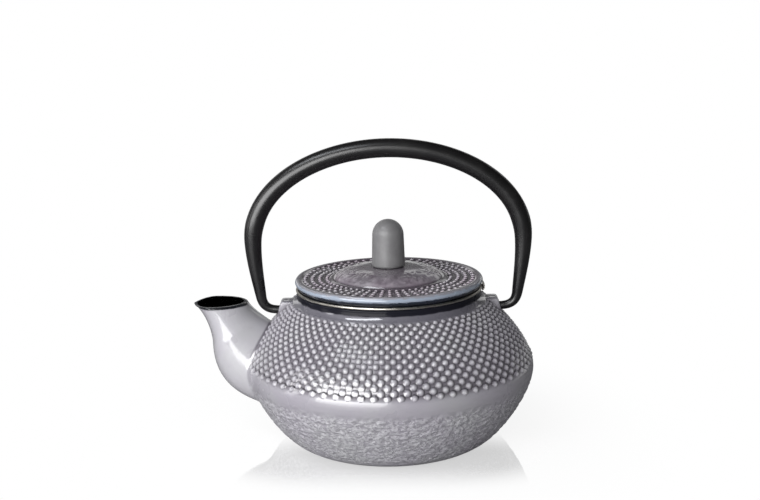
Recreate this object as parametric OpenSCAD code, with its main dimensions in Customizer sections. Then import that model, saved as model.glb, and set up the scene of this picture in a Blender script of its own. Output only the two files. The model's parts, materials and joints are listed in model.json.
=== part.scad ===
// Small cast iron teapot with a swinging bail, a lift-out steel infuser and a lid.
// The pot's axis is Z, the spout points to -X and the bail swings about X.

/* [Body] */
// Largest radius of the pot, at the belly
belly_r = 60; // [56:0.5:66]
// Height of the belly above the table
belly_z = 30.5; // [28:0.5:33]
// Height of the mouth's rim above the table
body_h = 62.9; // [60:0.1:68]
// Radius of the flat underside
base_r = 38; // [33:0.5:41]
// Wall of the body
wall = 3.2; // [2.6:0.1:3.8]
// Thickness of the floor
floor_t = 3.8; // [3:0.1:5]

/* [Neck] */
// Inner radius of the mouth
mouth_r = 35; // [32:0.5:37]
// Wall of the neck at the rim
neck_wall = 3.4; // [2.8:0.1:4]
// Height of the neck above the shoulder
neck_h = 4.5; // [3.5:0.1:6]
// How much wider the neck is at the shoulder than at the rim
neck_flare = 2.2; // [1:0.1:3]

/* [Hobnails] */
// Hobnails round the body in one row
nails_round = 37; // [30:1:44]
// Rows of hobnails on the body
nail_rows = 8; // [6:1:10]
// Height of a hobnail on the body
nail_h = 0.9; // [0.6:0.1:1.1]
// Hobnails round the lid in one ring
lid_nails_round = 30; // [24:1:36]
// Rings of hobnails on the lid
lid_nail_rings = 2; // [1:1:3]
// Height of a hobnail on the lid
lid_nail_h = 0.7; // [0.5:0.1:0.9]

/* [Spout] */
// Distance of the pouring lip from the pot's axis
spout_reach = 82; // [79:0.5:90]
// Drop of the spout's mouth below the rim
spout_drop = 4.7; // [3:0.1:7]
// Length of the spout's mouth
spout_mouth_len = 22.5; // [20:0.5:25]
// Width of the spout's mouth
spout_mouth_w = 22; // [18:0.5:25]
// Width of the spout where it leaves the body
spout_root_w = 30; // [26:0.5:34]
// Wall of the spout at its mouth
spout_wall = 2; // [1.6:0.1:2.6]

/* [Ears] */
// Width of an ear along Y
ear_w = 8; // [7:0.5:11]
// How far an ear's foot stands out from the neck
ear_len = 8.7; // [8:0.1:10]
// Drop of the ears' top below the rim
ear_drop = 4.3; // [3.8:0.1:5.5]
// Drop of the bail's pivot below the rim
pivot_drop = 8.5; // [8:0.1:9.2]

/* [Bail] */
// Diameter of the bail's pivot pins
pin_d = 3.4; // [2.8:0.1:4]
// Radial clearance of a pin in its ear
pin_gap = 0.08; // [0.05:0.01:0.1]
// Depth of a pin in its ear
pin_depth = 4; // [3:0.1:4.5]
// Half of the bail's width, to the middle of the tube
bail_half_w = 56; // [54:0.5:62]
// Height of the bail's crown above the pivot, to the middle of the tube
bail_rise = 66.9; // [64:0.1:80]
// Diameter of the tube along the grip
grip_d = 7.8; // [6.5:0.1:9]
// Height above the pivot at which the tube reaches its full diameter
taper_h = 36; // [28:1:44]

/* [Infuser] */
// Radial clearance between the infuser and the pot's mouth
infuser_gap = 0.5; // [0.3:0.1:1]
// Depth of the infuser below the rim
infuser_depth = 41.4; // [32:0.1:46]
// Thickness of the infuser's sheet steel
sheet_t = 0.5; // [0.4:0.1:0.7]
// Thickness of the woven mesh
mesh_t = 0.5; // [0.4:0.1:0.7]
// Height of the plain collar under the rim
collar_h = 7; // [6.6:0.1:10]
// Thickness of the rim's flange
flange_t = 0.6; // [0.5:0.1:0.8]
// Radius of the rolled bead round the flange
bead_r = 0.45; // [0.4:0.01:0.5]
// Height of the band round the infuser's base
band_h = 4.5; // [3:0.1:7]
// Width of the lifting tab
tab_w = 8; // [6:0.5:12]
// How far the tab stands out from the bead
tab_reach = 1.5; // [1.3:0.1:2.5]

/* [Lid] */
// How far the lid's edge stands out past the neck
lid_overhang = 0.7; // [0.5:0.1:1.2]
// Height of the lid's flat above its seat
lid_h = 4.4; // [4:0.1:5.5]
// Thickness of the lid
lid_t = 3; // [2.4:0.1:3.4]
// Radius of the raised dome
dome_r = 23; // [21:0.5:26]
// Height of the dome above the flat
dome_h = 4.2; // [3.6:0.1:5]
// Depth of the locating ring below the seat
ring_depth = 5; // [3.5:0.1:5.2]
// Thickness of the locating ring
ring_t = 2.4; // [2:0.1:3]
// Radial clearance between the locating ring and the infuser's collar
ring_gap = 1; // [0.6:0.1:1.3]
// Diameter of the steam vent
vent_d = 2.2; // [1.6:0.1:3]
// Distance of the vent outside the dome's foot
vent_out = 2.4; // [1.8:0.1:3]

/* [Knob] */
// Diameter of the knob at its foot
knob_d = 13.8; // [12:0.1:15]
// Diameter of the knob's rounded head
knob_head_d = 13; // [11:0.1:14]
// Height of the knob
knob_h = 19.8; // [18:0.1:22]
// Diameter of the knob's screw
screw_d = 4; // [3:0.1:5]
// Depth of the screw in the knob
screw_depth = 8; // [6:0.5:10]
// Diameter of the screw's head
screw_head_d = 7.4; // [7:0.1:9]
// Diameter of the washer
washer_d = 10; // [9.5:0.1:12]
// Thickness of the washer
washer_t = 0.8; // [0.6:0.1:1.2]

/* [Hidden] */
$fn = 96;

enamel_colour = [0.60, 0.59, 0.64];
bail_colour = [0.09, 0.09, 0.10];
knob_colour = [0.49, 0.49, 0.49];
steel_colour = [0.78, 0.77, 0.74];
mesh_colour = [0.66, 0.66, 0.65];

cut = 1;                // how far a cut runs past the face it opens
curve_steps = 14;       // straight pieces in each curve of a turned profile

// Body: the outline is three curves, named by where they start and how far they lean
foot_out = 4.7;         // width of the bevel round the underside
foot_up = 1.6;          // height of that bevel
foot_lean = [6.5, 4];   // lean of the lower curve where it leaves the bevel
belly_lean_down = 8.3;  // lean of the lower curve below the belly
belly_lean_up = 8.7;    // lean of the upper curve above the belly
shoulder_lean = [7.6, 6.4];
shoulder_z = body_h - neck_h;
neck_r = mouth_r + neck_wall;
shoulder_r = neck_r + neck_flare;
neck_bend_r = 0.35;     // share of the flare left at the bend above the shoulder
neck_bend_z = 0.25;     // heights of that bend and of the neck's plain part, as shares of the neck
neck_plain_z = 0.55;
rim_round = 0.5;        // bevel on the rim's two edges

// Ears and pivot
pivot_z = body_h - pivot_drop;
ear_top_z = body_h - ear_drop;
ear_foot_x = neck_r + ear_len;
ear_slope = 1.5;        // how far the ear's face leans in towards its top
ear_round = 1.4;        // radius of the ear's upper corner
ear_sink = 7;           // how far the ear runs down into the shoulder, below its top
ear_face = 12;          // angle at which the ear's face meets its corner
pad_drop = 5;           // metal left round the hole inside the pot, below and above the pivot
pad_rise = 4;
pin_r = pin_d / 2;
ear_hole_r = pin_r + pin_gap;
pin_end_x = ear_foot_x - ear_slope / 2 - pin_depth;
hole_end_gap = 0.5;     // room past the end of a pin
hole_skin = 1.6;        // metal behind the blind end of a hole

// Infuser
infuser_r = mouth_r - infuser_gap;
mesh_r = infuser_r - sheet_t;
infuser_z = body_h - infuser_depth;
bead_fn = 24;
bead_in = 0.05;         // how far the bead's middle lies inside the neck's outer face
bead_ring_r = neck_r - bead_in;
mesh_lap = 1.6;         // how far the mesh is lapped inside the collar
mesh_top_z = body_h - collar_h + mesh_lap;
base_lip = 3;           // width of the lip that carries the base mesh
tab_h = 3.6;            // height of the bowed tab
tab_bow = 0.2;          // how far the middle of the bow leans past its reach
tab_end = 0.15;         // distance of the bow's two ends from the bead
tab_steps = 8;          // straight pieces in the bow
tab_grip = 30;          // half of the angle over which the tab grips the bead
bead_skin = 0.01;       // room between the bead and the tab

// Lid
seat_z = body_h + flange_t;
lid_r = neck_r + lid_overhang;
lid_top_z = seat_z + lid_h;
dome_top_z = lid_top_z + dome_h;
ring_r = mesh_r - ring_gap;
seat_out = 1.8;         // how far inside the neck's outer face the seat ends
vent_r = dome_r + vent_out;
edge_low = [lid_r - 0.7, seat_z + 2.1];     // the edge's lower and upper ends
edge_top = [lid_r - 0.8, lid_top_z];
edge_bulge = 0.2;       // how far the edge's curve leans past the lid's radius
edge_lean_low = 0.4;    // heights over which the edge leans out at its two ends
edge_lean_high = 0.9;
under_lean = [0.9, 1.2];                    // leans of the curve from the seat to the edge
dome_lean = [1.6, 0.62];                    // lean at the dome's foot: width, and share of its height
dome_fullness = 0.66;   // share of the dome's radius at which its top starts to curve down
under_dome = [0.78, 0.9];                   // bend of the underside: share of the radius, and drop
under_steps = 5;        // straight pieces in the curves of the lid
edge_steps = 8;

// Knob
knob_foot_round = 1;
head_steps = 12;        // straight pieces over the knob's head
thread_gap = 0.05;
screw_room = 0.3;       // clearance round the screw in the lid
knob_flat = knob_d / 2 + 1.1;   // radius of the lid's flat under the knob
bore_spare = 0.5;       // depth of the knob's bore past the screw's end
washer_gap = 0.2;       // clearance of the screw in its washer
small_fn = 48;          // facets of the screw, the washer and the vent
screw_head_h = 2.2;
slot_w = 1;
slot_depth = 1;

function bezier(p, t) = pow(1 - t, 3) * p[0] + 3 * pow(1 - t, 2) * t * p[1]
    + 3 * (1 - t) * t * t * p[2] + pow(t, 3) * p[3];
function bezier_slope(p, t) = 3 * pow(1 - t, 2) * (p[1] - p[0])
    + 6 * (1 - t) * t * (p[2] - p[1]) + 3 * t * t * (p[3] - p[2]);
// The point beside a curve, a distance d to the left of its direction
function beside(p, t, d) = let (s = bezier_slope(p, t), n = norm(s))
    bezier(p, t) + d * [-s[1], s[0]] / n;
function curve(p, n = curve_steps, d = 0) = [for (i = [0 : n]) beside(p, i / n, d)];
function arc(centre, r, from, to, n = 6) =
    [for (i = [0 : n]) let (a = from + (to - from) * i / n) centre + r * [cos(a), sin(a)]];
function mix(a, b, t) = a + (b - a) * t;

lower_curve = [
    [base_r + foot_out, foot_up],
    [base_r + foot_out + foot_lean[0], foot_up + foot_lean[1]],
    [belly_r, belly_z - belly_lean_down],
    [belly_r, belly_z]];
upper_curve = [
    [belly_r, belly_z],
    [belly_r, belly_z + belly_lean_up],
    [shoulder_r + shoulder_lean[0], shoulder_z - shoulder_lean[1]],
    [shoulder_r, shoulder_z]];

// A place along the upper curve, as a share of its length, which runs unevenly in the curve's own count
length_lag = 0.032;
function along_upper(s, d = 0) = beside(upper_curve, s + length_lag * sin(360 * s), d);

module body_form() {
    rotate_extrude()
        polygon(concat(
            [[0, 0], [base_r, 0]],
            curve(lower_curve),
            [along_upper(bed_low / 2), along_upper(bed_low)],
            [for (i = [0 : curve_steps])
                along_upper(mix(bed_low + bed_slope, bed_high - bed_slope, i / curve_steps),
                            nail_h + nail_bed)],
            [along_upper(bed_high), along_upper(1)],
            [[neck_r + neck_flare * neck_bend_r, shoulder_z + neck_h * neck_bend_z],
             [neck_r, shoulder_z + neck_h * neck_plain_z],
             [neck_r, body_h - rim_round],
             [neck_r - rim_round, body_h],
             [0, body_h]]));
}

module cavity_form() {
    rotate_extrude()
        polygon(concat(
            [[0, floor_t], [lower_curve[0][0] - wall, floor_t]],
            curve(lower_curve, d = wall),
            curve(upper_curve, d = wall),
            [[mouth_r, shoulder_z],
             [mouth_r, body_h - rim_round],
             [mouth_r + rim_round, body_h],
             [mouth_r + rim_round, body_h + cut],
             [0, body_h + cut]]));
}

// Hobnails of the body: a band of adjoining pyramids, staggered from row to row, let into a bed
bed_low = 0.085;        // where the bed starts and ends, as shares of the upper curve's length
bed_high = 0.965;
bed_slope = 0.008;      // share taken by each end of the bed
nail_bed = 0.6;         // depth of the bed below the hollows between the hobnails
nail_low = 0.03;        // where the band starts and ends, out of sight in the wall
nail_high = 0.992;
nail_tuck = 0.3;        // how much deeper the band's two edges lie than its hollows
band_back = 3;          // depth of the back of the band; the hollow of the pot cuts the rest away

function round_z(p, turn) = [p[0] * sin(turn), -p[0] * cos(turn), p[1]];

module nail_band() {
    n = nails_round;
    top = nail_rows + 1;
    step = 360 / n;
    function share(k) = mix(nail_low, nail_high, k / top);
    function lag(k) = (k % 2) / 2;
    function hollow(k, j) = let (edge = k == 0 || k == top)
        round_z(along_upper(share(k), nail_h + (edge ? nail_tuck : 0)), step * (j + lag(k)));
    function tip(k, j) = round_z(along_upper(share(k)), step * (j + lag(k + 1)));
    function back(k, j) = round_z(along_upper(share(k), band_back), step * (j + lag(k)));
    tips = (top + 1) * n;
    backs = tips + nail_rows * n;
    function v(k, j) = k * n + (j + n) % n;
    function t(k, j) = tips + (k - 1) * n + j;
    function b(end, j) = backs + end * n + (j + n) % n;
    odd = top % 2;
    polyhedron(
        points = concat(
            [for (k = [0 : top]) for (j = [0 : n - 1]) hollow(k, j)],
            [for (k = [1 : nail_rows]) for (j = [0 : n - 1]) tip(k, j)],
            [for (k = [0, top]) for (j = [0 : n - 1]) back(k, j)]),
        faces = concat(
            [for (k = [1 : nail_rows]) for (j = [0 : n - 1])
                let (left = v(k, j - k % 2), right = v(k, j + 1 - k % 2),
                     low = v(k - 1, j), high = v(k + 1, j))
                for (pair = [[low, left], [right, low], [high, right], [left, high]])
                    [t(k, j), pair[0], pair[1]]],
            [for (j = [0 : n - 1]) [v(0, j), v(1, j), v(0, j + 1)]],
            [for (j = [0 : n - 1]) [v(top, j - odd), v(top, j + 1 - odd), v(nail_rows, j)]],
            [for (j = [0 : n - 1]) each [[v(0, j), v(0, j + 1), b(0, j)],
                [v(0, j + 1), b(0, j + 1), b(0, j)]]],
            [for (j = [0 : n - 1]) each [[v(top, j), b(1, j), v(top, j + 1)],
                [v(top, j + 1), b(1, j), b(1, j + 1)]]],
            [for (j = [0 : n - 1]) each [[b(0, j), b(0, j + 1), b(1, j)],
                [b(0, j + 1), b(1, j + 1), b(1, j)]]]));
}

// Spout: a loft between its keel, which faces out, and its throat, which faces the bail
spout_rings = 20;
spout_sides = 28;
spout_z = body_h - spout_drop;
lip = [-spout_reach, spout_z];
throat_top = lip + [spout_mouth_len, 0];
keel_bend = lip + [7.3, -17.3]; // where the keel runs straight down
lip_lean = [5, -4.6];           // lean of the keel where it leaves the lip
bend_lean_up = 4.3;
bend_lean_down = 14.6;
root_lean = [-6.8, -22.5];      // from the belly's side and the bend: lean and end of the keel in the body
root_end = [8, -26.9];
throat_lean_out = [2.5, -5.2];  // lean of the throat where it leaves the mouth
throat_lean_in = [10, -8.4];    // from the belly's side and the mouth: lean and end of the throat in the body
throat_end = [21, -17];
keel_upper = [lip, lip + lip_lean, keel_bend + [0, bend_lean_up], keel_bend];
keel_lower = [keel_bend, keel_bend - [0, bend_lean_down],
              [-belly_r, keel_bend[1]] + root_lean, [-belly_r, keel_bend[1]] + root_end];
throat = [throat_top, throat_top + throat_lean_out,
          [-belly_r, spout_z] + throat_lean_in, [-belly_r, spout_z] + throat_end];
keel_split = 0.42;      // share of the spout's rings above the keel's bend
widest_at_mouth = 0.58; // where the mouth is widest, as a share of its length from the lip
widest_at_root = 0.5;
lip_point = 0.5;        // how pointed the lip is, from 0, round, to 1, straight sided
lip_thicker = 0.6;      // how much thicker the wall is at a fully pointed lip, as a share
root_wall = 3;          // wall of the spout where it leaves the body

function keel(t) = t < keel_split ? bezier(keel_upper, t / keel_split)
    : bezier(keel_lower, (t - keel_split) / (1 - keel_split));
function spout_half_w(t) = mix(spout_mouth_w, spout_root_w, t * t * (3 - 2 * t)) / 2;

// One ring of the spout, t from 0 at the mouth to 1 inside the body, thinned by d
function spout_ring(t, d) =
    let (k = keel(t), h = bezier(throat, t), along = h - k, len = norm(along), dir = along / len,
         point = lip_point * pow(1 - t, 2), wide = mix(widest_at_mouth, widest_at_root, t),
         lip_gap = d * (1 + lip_thicker * point), half_w = spout_half_w(t) - d)
    [for (i = [0 : spout_sides - 1])
        let (a = 360 * i / spout_sides,
             fore = a < 90 || a > 270,
             fold = fore ? min(a, 360 - a) / 90 : 1,
             u = fore ? wide * mix(1 - cos(a), fold, point) : wide - (1 - wide) * cos(a),
             q = k + dir * (lip_gap + u * (len - lip_gap - d)))
        [q[0], half_w * sin(a), q[1]]];

module loft(rings) {
    n = len(rings[0]);
    last = len(rings) - 1;
    polyhedron(
        points = [for (ring = rings) for (p = ring) p],
        faces = concat(
            [[for (i = [0 : n - 1]) i]],
            [[for (i = [n - 1 : -1 : 0]) last * n + i]],
            [for (k = [0 : last - 1]) for (i = [0 : n - 1])
                [k * n + i, (k + 1) * n + i, k * n + (i + 1) % n]],
            [for (k = [0 : last - 1]) for (i = [0 : n - 1])
                [k * n + (i + 1) % n, (k + 1) * n + i, (k + 1) * n + (i + 1) % n]]));
}

module spout_form() {
    loft([for (k = [0 : spout_rings]) spout_ring(k / spout_rings, 0)]);
}

module spout_channel() {
    mouth = spout_ring(0, spout_wall);
    loft(concat(
        [[for (p = mouth) p + [0, 0, cut]]],
        [for (k = [0 : spout_rings]) let (t = k / spout_rings)
            spout_ring(t, mix(spout_wall, root_wall, t))]));
}

// Ear: a lug on the shoulder with one sloping face and a blind hole for the pin
ear_top_x = ear_foot_x - ear_slope;

module ear_form() {
    corner = [ear_top_x - ear_round, ear_top_z - ear_round];
    rotate([90, 0, 0])
        linear_extrude(ear_w, center = true)
            polygon(concat(
                [[neck_r - neck_wall / 2, ear_top_z - ear_sink], [ear_foot_x, ear_top_z - ear_sink]],
                arc(corner, ear_round, ear_face, 90),
                [[neck_r - neck_wall / 2, ear_top_z]]));
}

module ear_pad() {
    pad_x = pin_end_x - hole_end_gap - hole_skin;
    translate([pad_x, -ear_w / 2, pivot_z - pad_drop])
        cube([ear_foot_x - pad_x, ear_w, pad_drop + pad_rise]);
}

module ear_hole() {
    hole_x = pin_end_x - hole_end_gap;
    translate([hole_x, 0, pivot_z])
        rotate([0, 90, 0])
            cylinder(r = ear_hole_r, h = ear_foot_x + cut - hole_x);
}

module both_sides() {
    children();
    rotate([0, 0, 180])
        children();
}

module pot() {
    color(enamel_colour)
        difference() {
            union() {
                body_form();
                nail_band();
                spout_form();
                both_sides() ear_form();
            }
            difference() {
                cavity_form();
                both_sides() ear_pad();
            }
            spout_channel();
            both_sides() ear_hole();
        }
}

// Bail: a tapering tube along three curves from each pivot to the crown
bail_sides = 16;
bend_steps = 6;         // rings along the bend, and again along the leg
arch_steps = 16;
bail_start = [ear_foot_x + 0.25, pivot_z];          // just clear of the ear
leg_foot = [bail_half_w - 2.4, pivot_z + 5.6];
leg_top = [bail_half_w, pivot_z + 28.6];
crown = [0, pivot_z + bail_rise];
start_lean = [4, 0.2];  // leans of the curves where they leave their ends
foot_lean_down = [0.5, 3.4];
foot_lean_up = [1.1, 7.7];
top_lean = [0, 7.7];
arch_rise = 0.6;        // shares of the arch's height and width at which it leans
arch_width = 0.52;
bend_curve = [bail_start, bail_start + start_lean, leg_foot - foot_lean_down, leg_foot];
leg_curve = [leg_foot, leg_foot + foot_lean_up, leg_top - top_lean, leg_top];
arch_curve = [leg_top, [bail_half_w, mix(leg_top[1], crown[1], arch_rise)],
              [bail_half_w * arch_width, crown[1]], crown];
taper_power = 0.85;
pin_lap = 0.6;          // how far a pin runs on inside the tube
pin_step = 0.05;        // how much wider than its pin the tube starts

function tube_r(z) = mix(pin_r + pin_step, grip_d / 2,
    pow(min(1, max(0, (z - pivot_z) / taper_h)), taper_power));

function stations(p, n, last) = [for (i = [0 : last]) [bezier(p, i / n), bezier_slope(p, i / n)]];
function half_bail() = concat(
    stations(bend_curve, bend_steps, bend_steps - 1),
    stations(leg_curve, bend_steps, bend_steps - 1),
    stations(arch_curve, arch_steps, arch_steps));

function tube_ring(p, slope) =
    let (n = norm(slope), side = [-slope[1], slope[0]] / n, r = tube_r(p[1]))
    [for (i = [0 : bail_sides - 1])
        let (a = 360 * i / bail_sides, q = p + side * r * cos(a))
        [q[0], -r * sin(a), q[1]]];

module bail() {
    half = half_bail();
    count = len(half);
    color(bail_colour)
        union() {
            loft(concat(
                [for (s = half) tube_ring(s[0], s[1])],
                [for (i = [count - 2 : -1 : 0])
                    tube_ring([-half[i][0][0], half[i][0][1]], [half[i][1][0], -half[i][1][1]])]));
            both_sides()
                translate([pin_end_x, 0, pivot_z])
                    rotate([0, 90, 0])
                        cylinder(r = pin_r, h = bail_start[0] + pin_lap - pin_end_x);
        }
}

// Infuser
module infuser_rim() {
    color(steel_colour)
        union() {
            rotate_extrude()
                polygon([
                    [infuser_r - sheet_t, body_h - collar_h],
                    [infuser_r, body_h - collar_h],
                    [infuser_r, body_h],
                    [bead_ring_r, body_h],
                    [bead_ring_r, body_h + flange_t],
                    [infuser_r - sheet_t, body_h + flange_t]]);
            translate([0, 0, body_h + bead_r])
                rotate_extrude()
                    translate([bead_ring_r, 0])
                        circle(r = bead_r, $fn = bead_fn);
        }
}

module infuser_tab() {
    bead_out = bead_ring_r + bead_r;
    tab_x = bead_out + tab_reach;
    mid_z = body_h + bead_r;
    bow = [[bead_out + tab_end, mid_z + tab_h / 2], [tab_x + tab_bow, mid_z + tab_h / 4],
           [tab_x + tab_bow, mid_z - tab_h / 4], [bead_out + tab_end, mid_z - tab_h / 2]];
    color(steel_colour)
        intersection() {
            rotate_extrude()
                polygon(concat(
                    curve(bow, tab_steps),
                    [for (i = [tab_steps : -1 : tab_steps / 2 + 1]) beside(bow, i / tab_steps, -sheet_t)],
                    arc([bead_ring_r, mid_z], bead_r + bead_skin, -tab_grip, tab_grip),
                    [for (i = [tab_steps / 2 - 1 : -1 : 0]) beside(bow, i / tab_steps, -sheet_t)]));
            translate([0, -tab_w / 2, mid_z - tab_h])
                cube([tab_x + cut, tab_w, 2 * tab_h]);
        }
}

module infuser_side_mesh() {
    mesh_h = mesh_top_z - infuser_z - sheet_t;
    color(mesh_colour)
        translate([0, 0, infuser_z + sheet_t])
            difference() {
                cylinder(r = mesh_r, h = mesh_h);
                translate([0, 0, -cut])
                    cylinder(r = mesh_r - mesh_t, h = mesh_h + 2 * cut);
            }
}

module infuser_base_band() {
    color(steel_colour)
        rotate_extrude()
            polygon([
                [mesh_r - base_lip, infuser_z],
                [infuser_r, infuser_z],
                [infuser_r, infuser_z + band_h],
                [mesh_r, infuser_z + band_h],
                [mesh_r, infuser_z + sheet_t],
                [mesh_r - base_lip, infuser_z + sheet_t]]);
}

module infuser_base_mesh() {
    color(mesh_colour)
        translate([0, 0, infuser_z + sheet_t])
            cylinder(r = mesh_r - mesh_t, h = mesh_t);
}

// Hobnails of the lid: rings of adjoining pyramids that stand in line along each radius
lid_nail_in = dome_r + 0.7;     // radii between which the band runs, out of sight under the flat
lid_nail_out = lid_r - 2.3;
lid_bed_edge = 0.4;             // how far inside those radii the bed starts
lid_bed_slope = 0.3;
lid_nail_tuck = 0.3;
lid_bed = 0.5;                  // depth of the bed below the hollows
lid_back = 0.9;                 // depth of the band's underside below the hollows

module lid_nail_band() {
    n = lid_nails_round;
    rings = lid_nail_rings;
    step = 360 / n;
    hollow_z = lid_top_z - lid_nail_h;
    function at(k, z, j) = round_z([mix(lid_nail_in, lid_nail_out, k / rings), z], step * j);
    tips = (rings + 1) * n;
    backs = tips + rings * n;
    function v(k, j) = k * n + j % n;
    function b(end, j) = backs + end * n + j % n;
    polyhedron(
        points = concat(
            [for (k = [0 : rings]) for (j = [0 : n - 1])
                at(k, hollow_z - (k == 0 || k == rings ? lid_nail_tuck : 0), j)],
            [for (k = [0 : rings - 1]) for (j = [0 : n - 1]) at(k + 0.5, lid_top_z, j + 0.5)],
            [for (k = [0, rings]) for (j = [0 : n - 1]) at(k, hollow_z - lid_back, j)]),
        faces = concat(
            [for (k = [0 : rings - 1]) for (j = [0 : n - 1])
                for (pair = [[v(k, j), v(k, j + 1)], [v(k, j + 1), v(k + 1, j + 1)],
                             [v(k + 1, j + 1), v(k + 1, j)], [v(k + 1, j), v(k, j)]])
                    [tips + k * n + j, pair[0], pair[1]]],
            [for (j = [0 : n - 1]) each [[v(0, j), b(0, j), v(0, j + 1)],
                [v(0, j + 1), b(0, j), b(0, j + 1)]]],
            [for (j = [0 : n - 1]) each [[v(rings, j), v(rings, j + 1), b(1, j)],
                [v(rings, j + 1), b(1, j + 1), b(1, j)]]],
            [for (j = [0 : n - 1]) each [[b(0, j), b(1, j), b(0, j + 1)],
                [b(0, j + 1), b(1, j), b(1, j + 1)]]]));
}

// Lid
module lid() {
    seat_r = neck_r - seat_out;
    edge_curve = [edge_low, [lid_r + edge_bulge, edge_low[1] + edge_lean_low],
                  [lid_r + edge_bulge, lid_top_z - edge_lean_high], edge_top];
    under_curve = [[seat_r, seat_z], [seat_r + under_lean[0], seat_z],
                   edge_low - [0, under_lean[1]], edge_low];
    dome_curve = [[dome_r, lid_top_z], [dome_r - dome_lean[0], lid_top_z + dome_h * dome_lean[1]],
                  [dome_r * dome_fullness, dome_top_z], [knob_flat, dome_top_z]];
    hole_r = screw_d / 2 + screw_room;
    bed_z = lid_top_z - lid_nail_h - lid_bed;
    bed_in = lid_nail_in + lid_bed_edge;
    bed_out = lid_nail_out - lid_bed_edge;
    color(enamel_colour)
        difference() {
            union() {
                lid_nail_band();
                rotate_extrude()
                    polygon(concat(
                        [[hole_r, dome_top_z - lid_t], [knob_flat, dome_top_z - lid_t],
                         [dome_r * under_dome[0], dome_top_z - lid_t - under_dome[1]],
                         [dome_r - 1, lid_top_z - lid_t],
                         [ring_r - ring_t, lid_top_z - lid_t],
                         [ring_r - ring_t, seat_z - ring_depth], [ring_r, seat_z - ring_depth],
                         [ring_r, seat_z]],
                        curve(under_curve, under_steps),
                        [for (i = [1 : edge_steps]) bezier(edge_curve, i / edge_steps)],
                        [[bed_out, lid_top_z], [bed_out - lid_bed_slope, bed_z],
                         [bed_in + lid_bed_slope, bed_z], [bed_in, lid_top_z]],
                        curve(dome_curve, edge_steps),
                        [[hole_r, dome_top_z]]));
            }
            translate([vent_r, 0, lid_top_z - lid_t - cut])
                cylinder(r = vent_d / 2, h = lid_t + dome_h + 2 * cut, $fn = small_fn);
        }
}

// Knob, its screw and washer
module knob() {
    foot_r = knob_d / 2;
    head_r = knob_head_d / 2;
    head_z = knob_h - head_r;
    color(knob_colour)
        translate([0, 0, dome_top_z])
            difference() {
                rotate_extrude()
                    polygon(concat(
                        [[0, 0], [foot_r - knob_foot_round, 0]],
                        arc([foot_r - knob_foot_round, knob_foot_round], knob_foot_round, -60, 0, 3),
                        arc([0, head_z], head_r, 0, 90, head_steps)));
                translate([0, 0, -cut])
                    cylinder(r = screw_d / 2 + thread_gap, h = screw_depth + cut + bore_spare,
                             $fn = small_fn);
            }
}

module knob_screw() {
    head_z = dome_top_z - lid_t - washer_t;
    color(steel_colour)
        difference() {
            union() {
                translate([0, 0, head_z])
                    cylinder(r = screw_d / 2, h = lid_t + washer_t + screw_depth, $fn = small_fn);
                translate([0, 0, head_z - screw_head_h])
                    cylinder(r = screw_head_d / 2, h = screw_head_h, $fn = small_fn);
            }
            translate([-screw_head_d, -slot_w / 2, head_z - screw_head_h - cut])
                cube([2 * screw_head_d, slot_w, slot_depth + cut]);
        }
}

module knob_washer() {
    color(steel_colour)
        translate([0, 0, dome_top_z - lid_t - washer_t])
            difference() {
                cylinder(r = washer_d / 2, h = washer_t, $fn = small_fn);
                translate([0, 0, -cut])
                    cylinder(r = screw_d / 2 + washer_gap, h = washer_t + 2 * cut, $fn = small_fn);
            }
}

pot();
bail();
infuser_rim();
infuser_tab();
infuser_side_mesh();
infuser_base_band();
infuser_base_mesh();
lid();
knob();
knob_screw();
knob_washer();
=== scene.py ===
"""A small enamelled cast iron teapot: the finish and the fine forms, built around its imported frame."""
import json
import math

import bmesh
import bpy
import numpy as np
from bpy.props import FloatProperty, FloatVectorProperty, IntProperty, PointerProperty
from mathutils import Matrix, Vector, noise


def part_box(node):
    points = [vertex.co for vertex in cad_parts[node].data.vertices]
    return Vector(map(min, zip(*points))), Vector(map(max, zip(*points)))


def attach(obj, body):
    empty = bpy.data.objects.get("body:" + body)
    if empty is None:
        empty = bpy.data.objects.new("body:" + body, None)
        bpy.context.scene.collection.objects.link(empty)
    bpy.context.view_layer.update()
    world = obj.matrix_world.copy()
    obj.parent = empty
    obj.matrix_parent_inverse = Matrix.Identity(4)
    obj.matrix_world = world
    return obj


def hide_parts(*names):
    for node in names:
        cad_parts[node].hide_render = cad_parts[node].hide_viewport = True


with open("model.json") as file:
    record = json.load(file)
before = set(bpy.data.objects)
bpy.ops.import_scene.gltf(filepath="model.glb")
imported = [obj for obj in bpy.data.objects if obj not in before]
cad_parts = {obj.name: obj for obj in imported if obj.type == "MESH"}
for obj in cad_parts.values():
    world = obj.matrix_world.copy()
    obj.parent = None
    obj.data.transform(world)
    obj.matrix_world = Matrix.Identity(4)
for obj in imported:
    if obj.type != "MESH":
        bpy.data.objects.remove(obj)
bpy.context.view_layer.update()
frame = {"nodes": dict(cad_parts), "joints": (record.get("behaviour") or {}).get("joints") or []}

bl_info = {
    "name": "Cast iron teapot",
    "version": (1, 0, 0),
    "blender": (4, 5, 0),
    "location": "3D View > Sidebar > Teapot",
    "description": "An enamelled cast iron teapot with a swinging bail, a steel infuser and a lid",
    "category": "Add Mesh",
}

POT_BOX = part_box("pot")
BAIL_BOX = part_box("bail")
LID_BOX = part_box("lid")
KNOB_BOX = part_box("knob")
RIM_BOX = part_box("infuser_rim")
TAB_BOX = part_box("infuser_tab")
MESH_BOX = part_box("infuser_side_mesh")
BAND_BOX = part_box("infuser_base_band")
PIVOT_Z = next(j["pos_m"][2] for j in frame["joints"] if j["name"] == "bail_swing")

MM = 0.001
EAR_DEPTH = 7 * MM
TURN = 2 * math.pi
FLOW = 1.45         # how much longer the marks of the rough casting are along the wall than up it


# Settings ---------------------------------------------------------------------------------------

def length(name, description, default):
    """A length that the sidebar shows in the scene's units."""
    return FloatProperty(name=name, description=description, default=default, unit="LENGTH",
                         precision=5, step=0.01)


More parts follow.
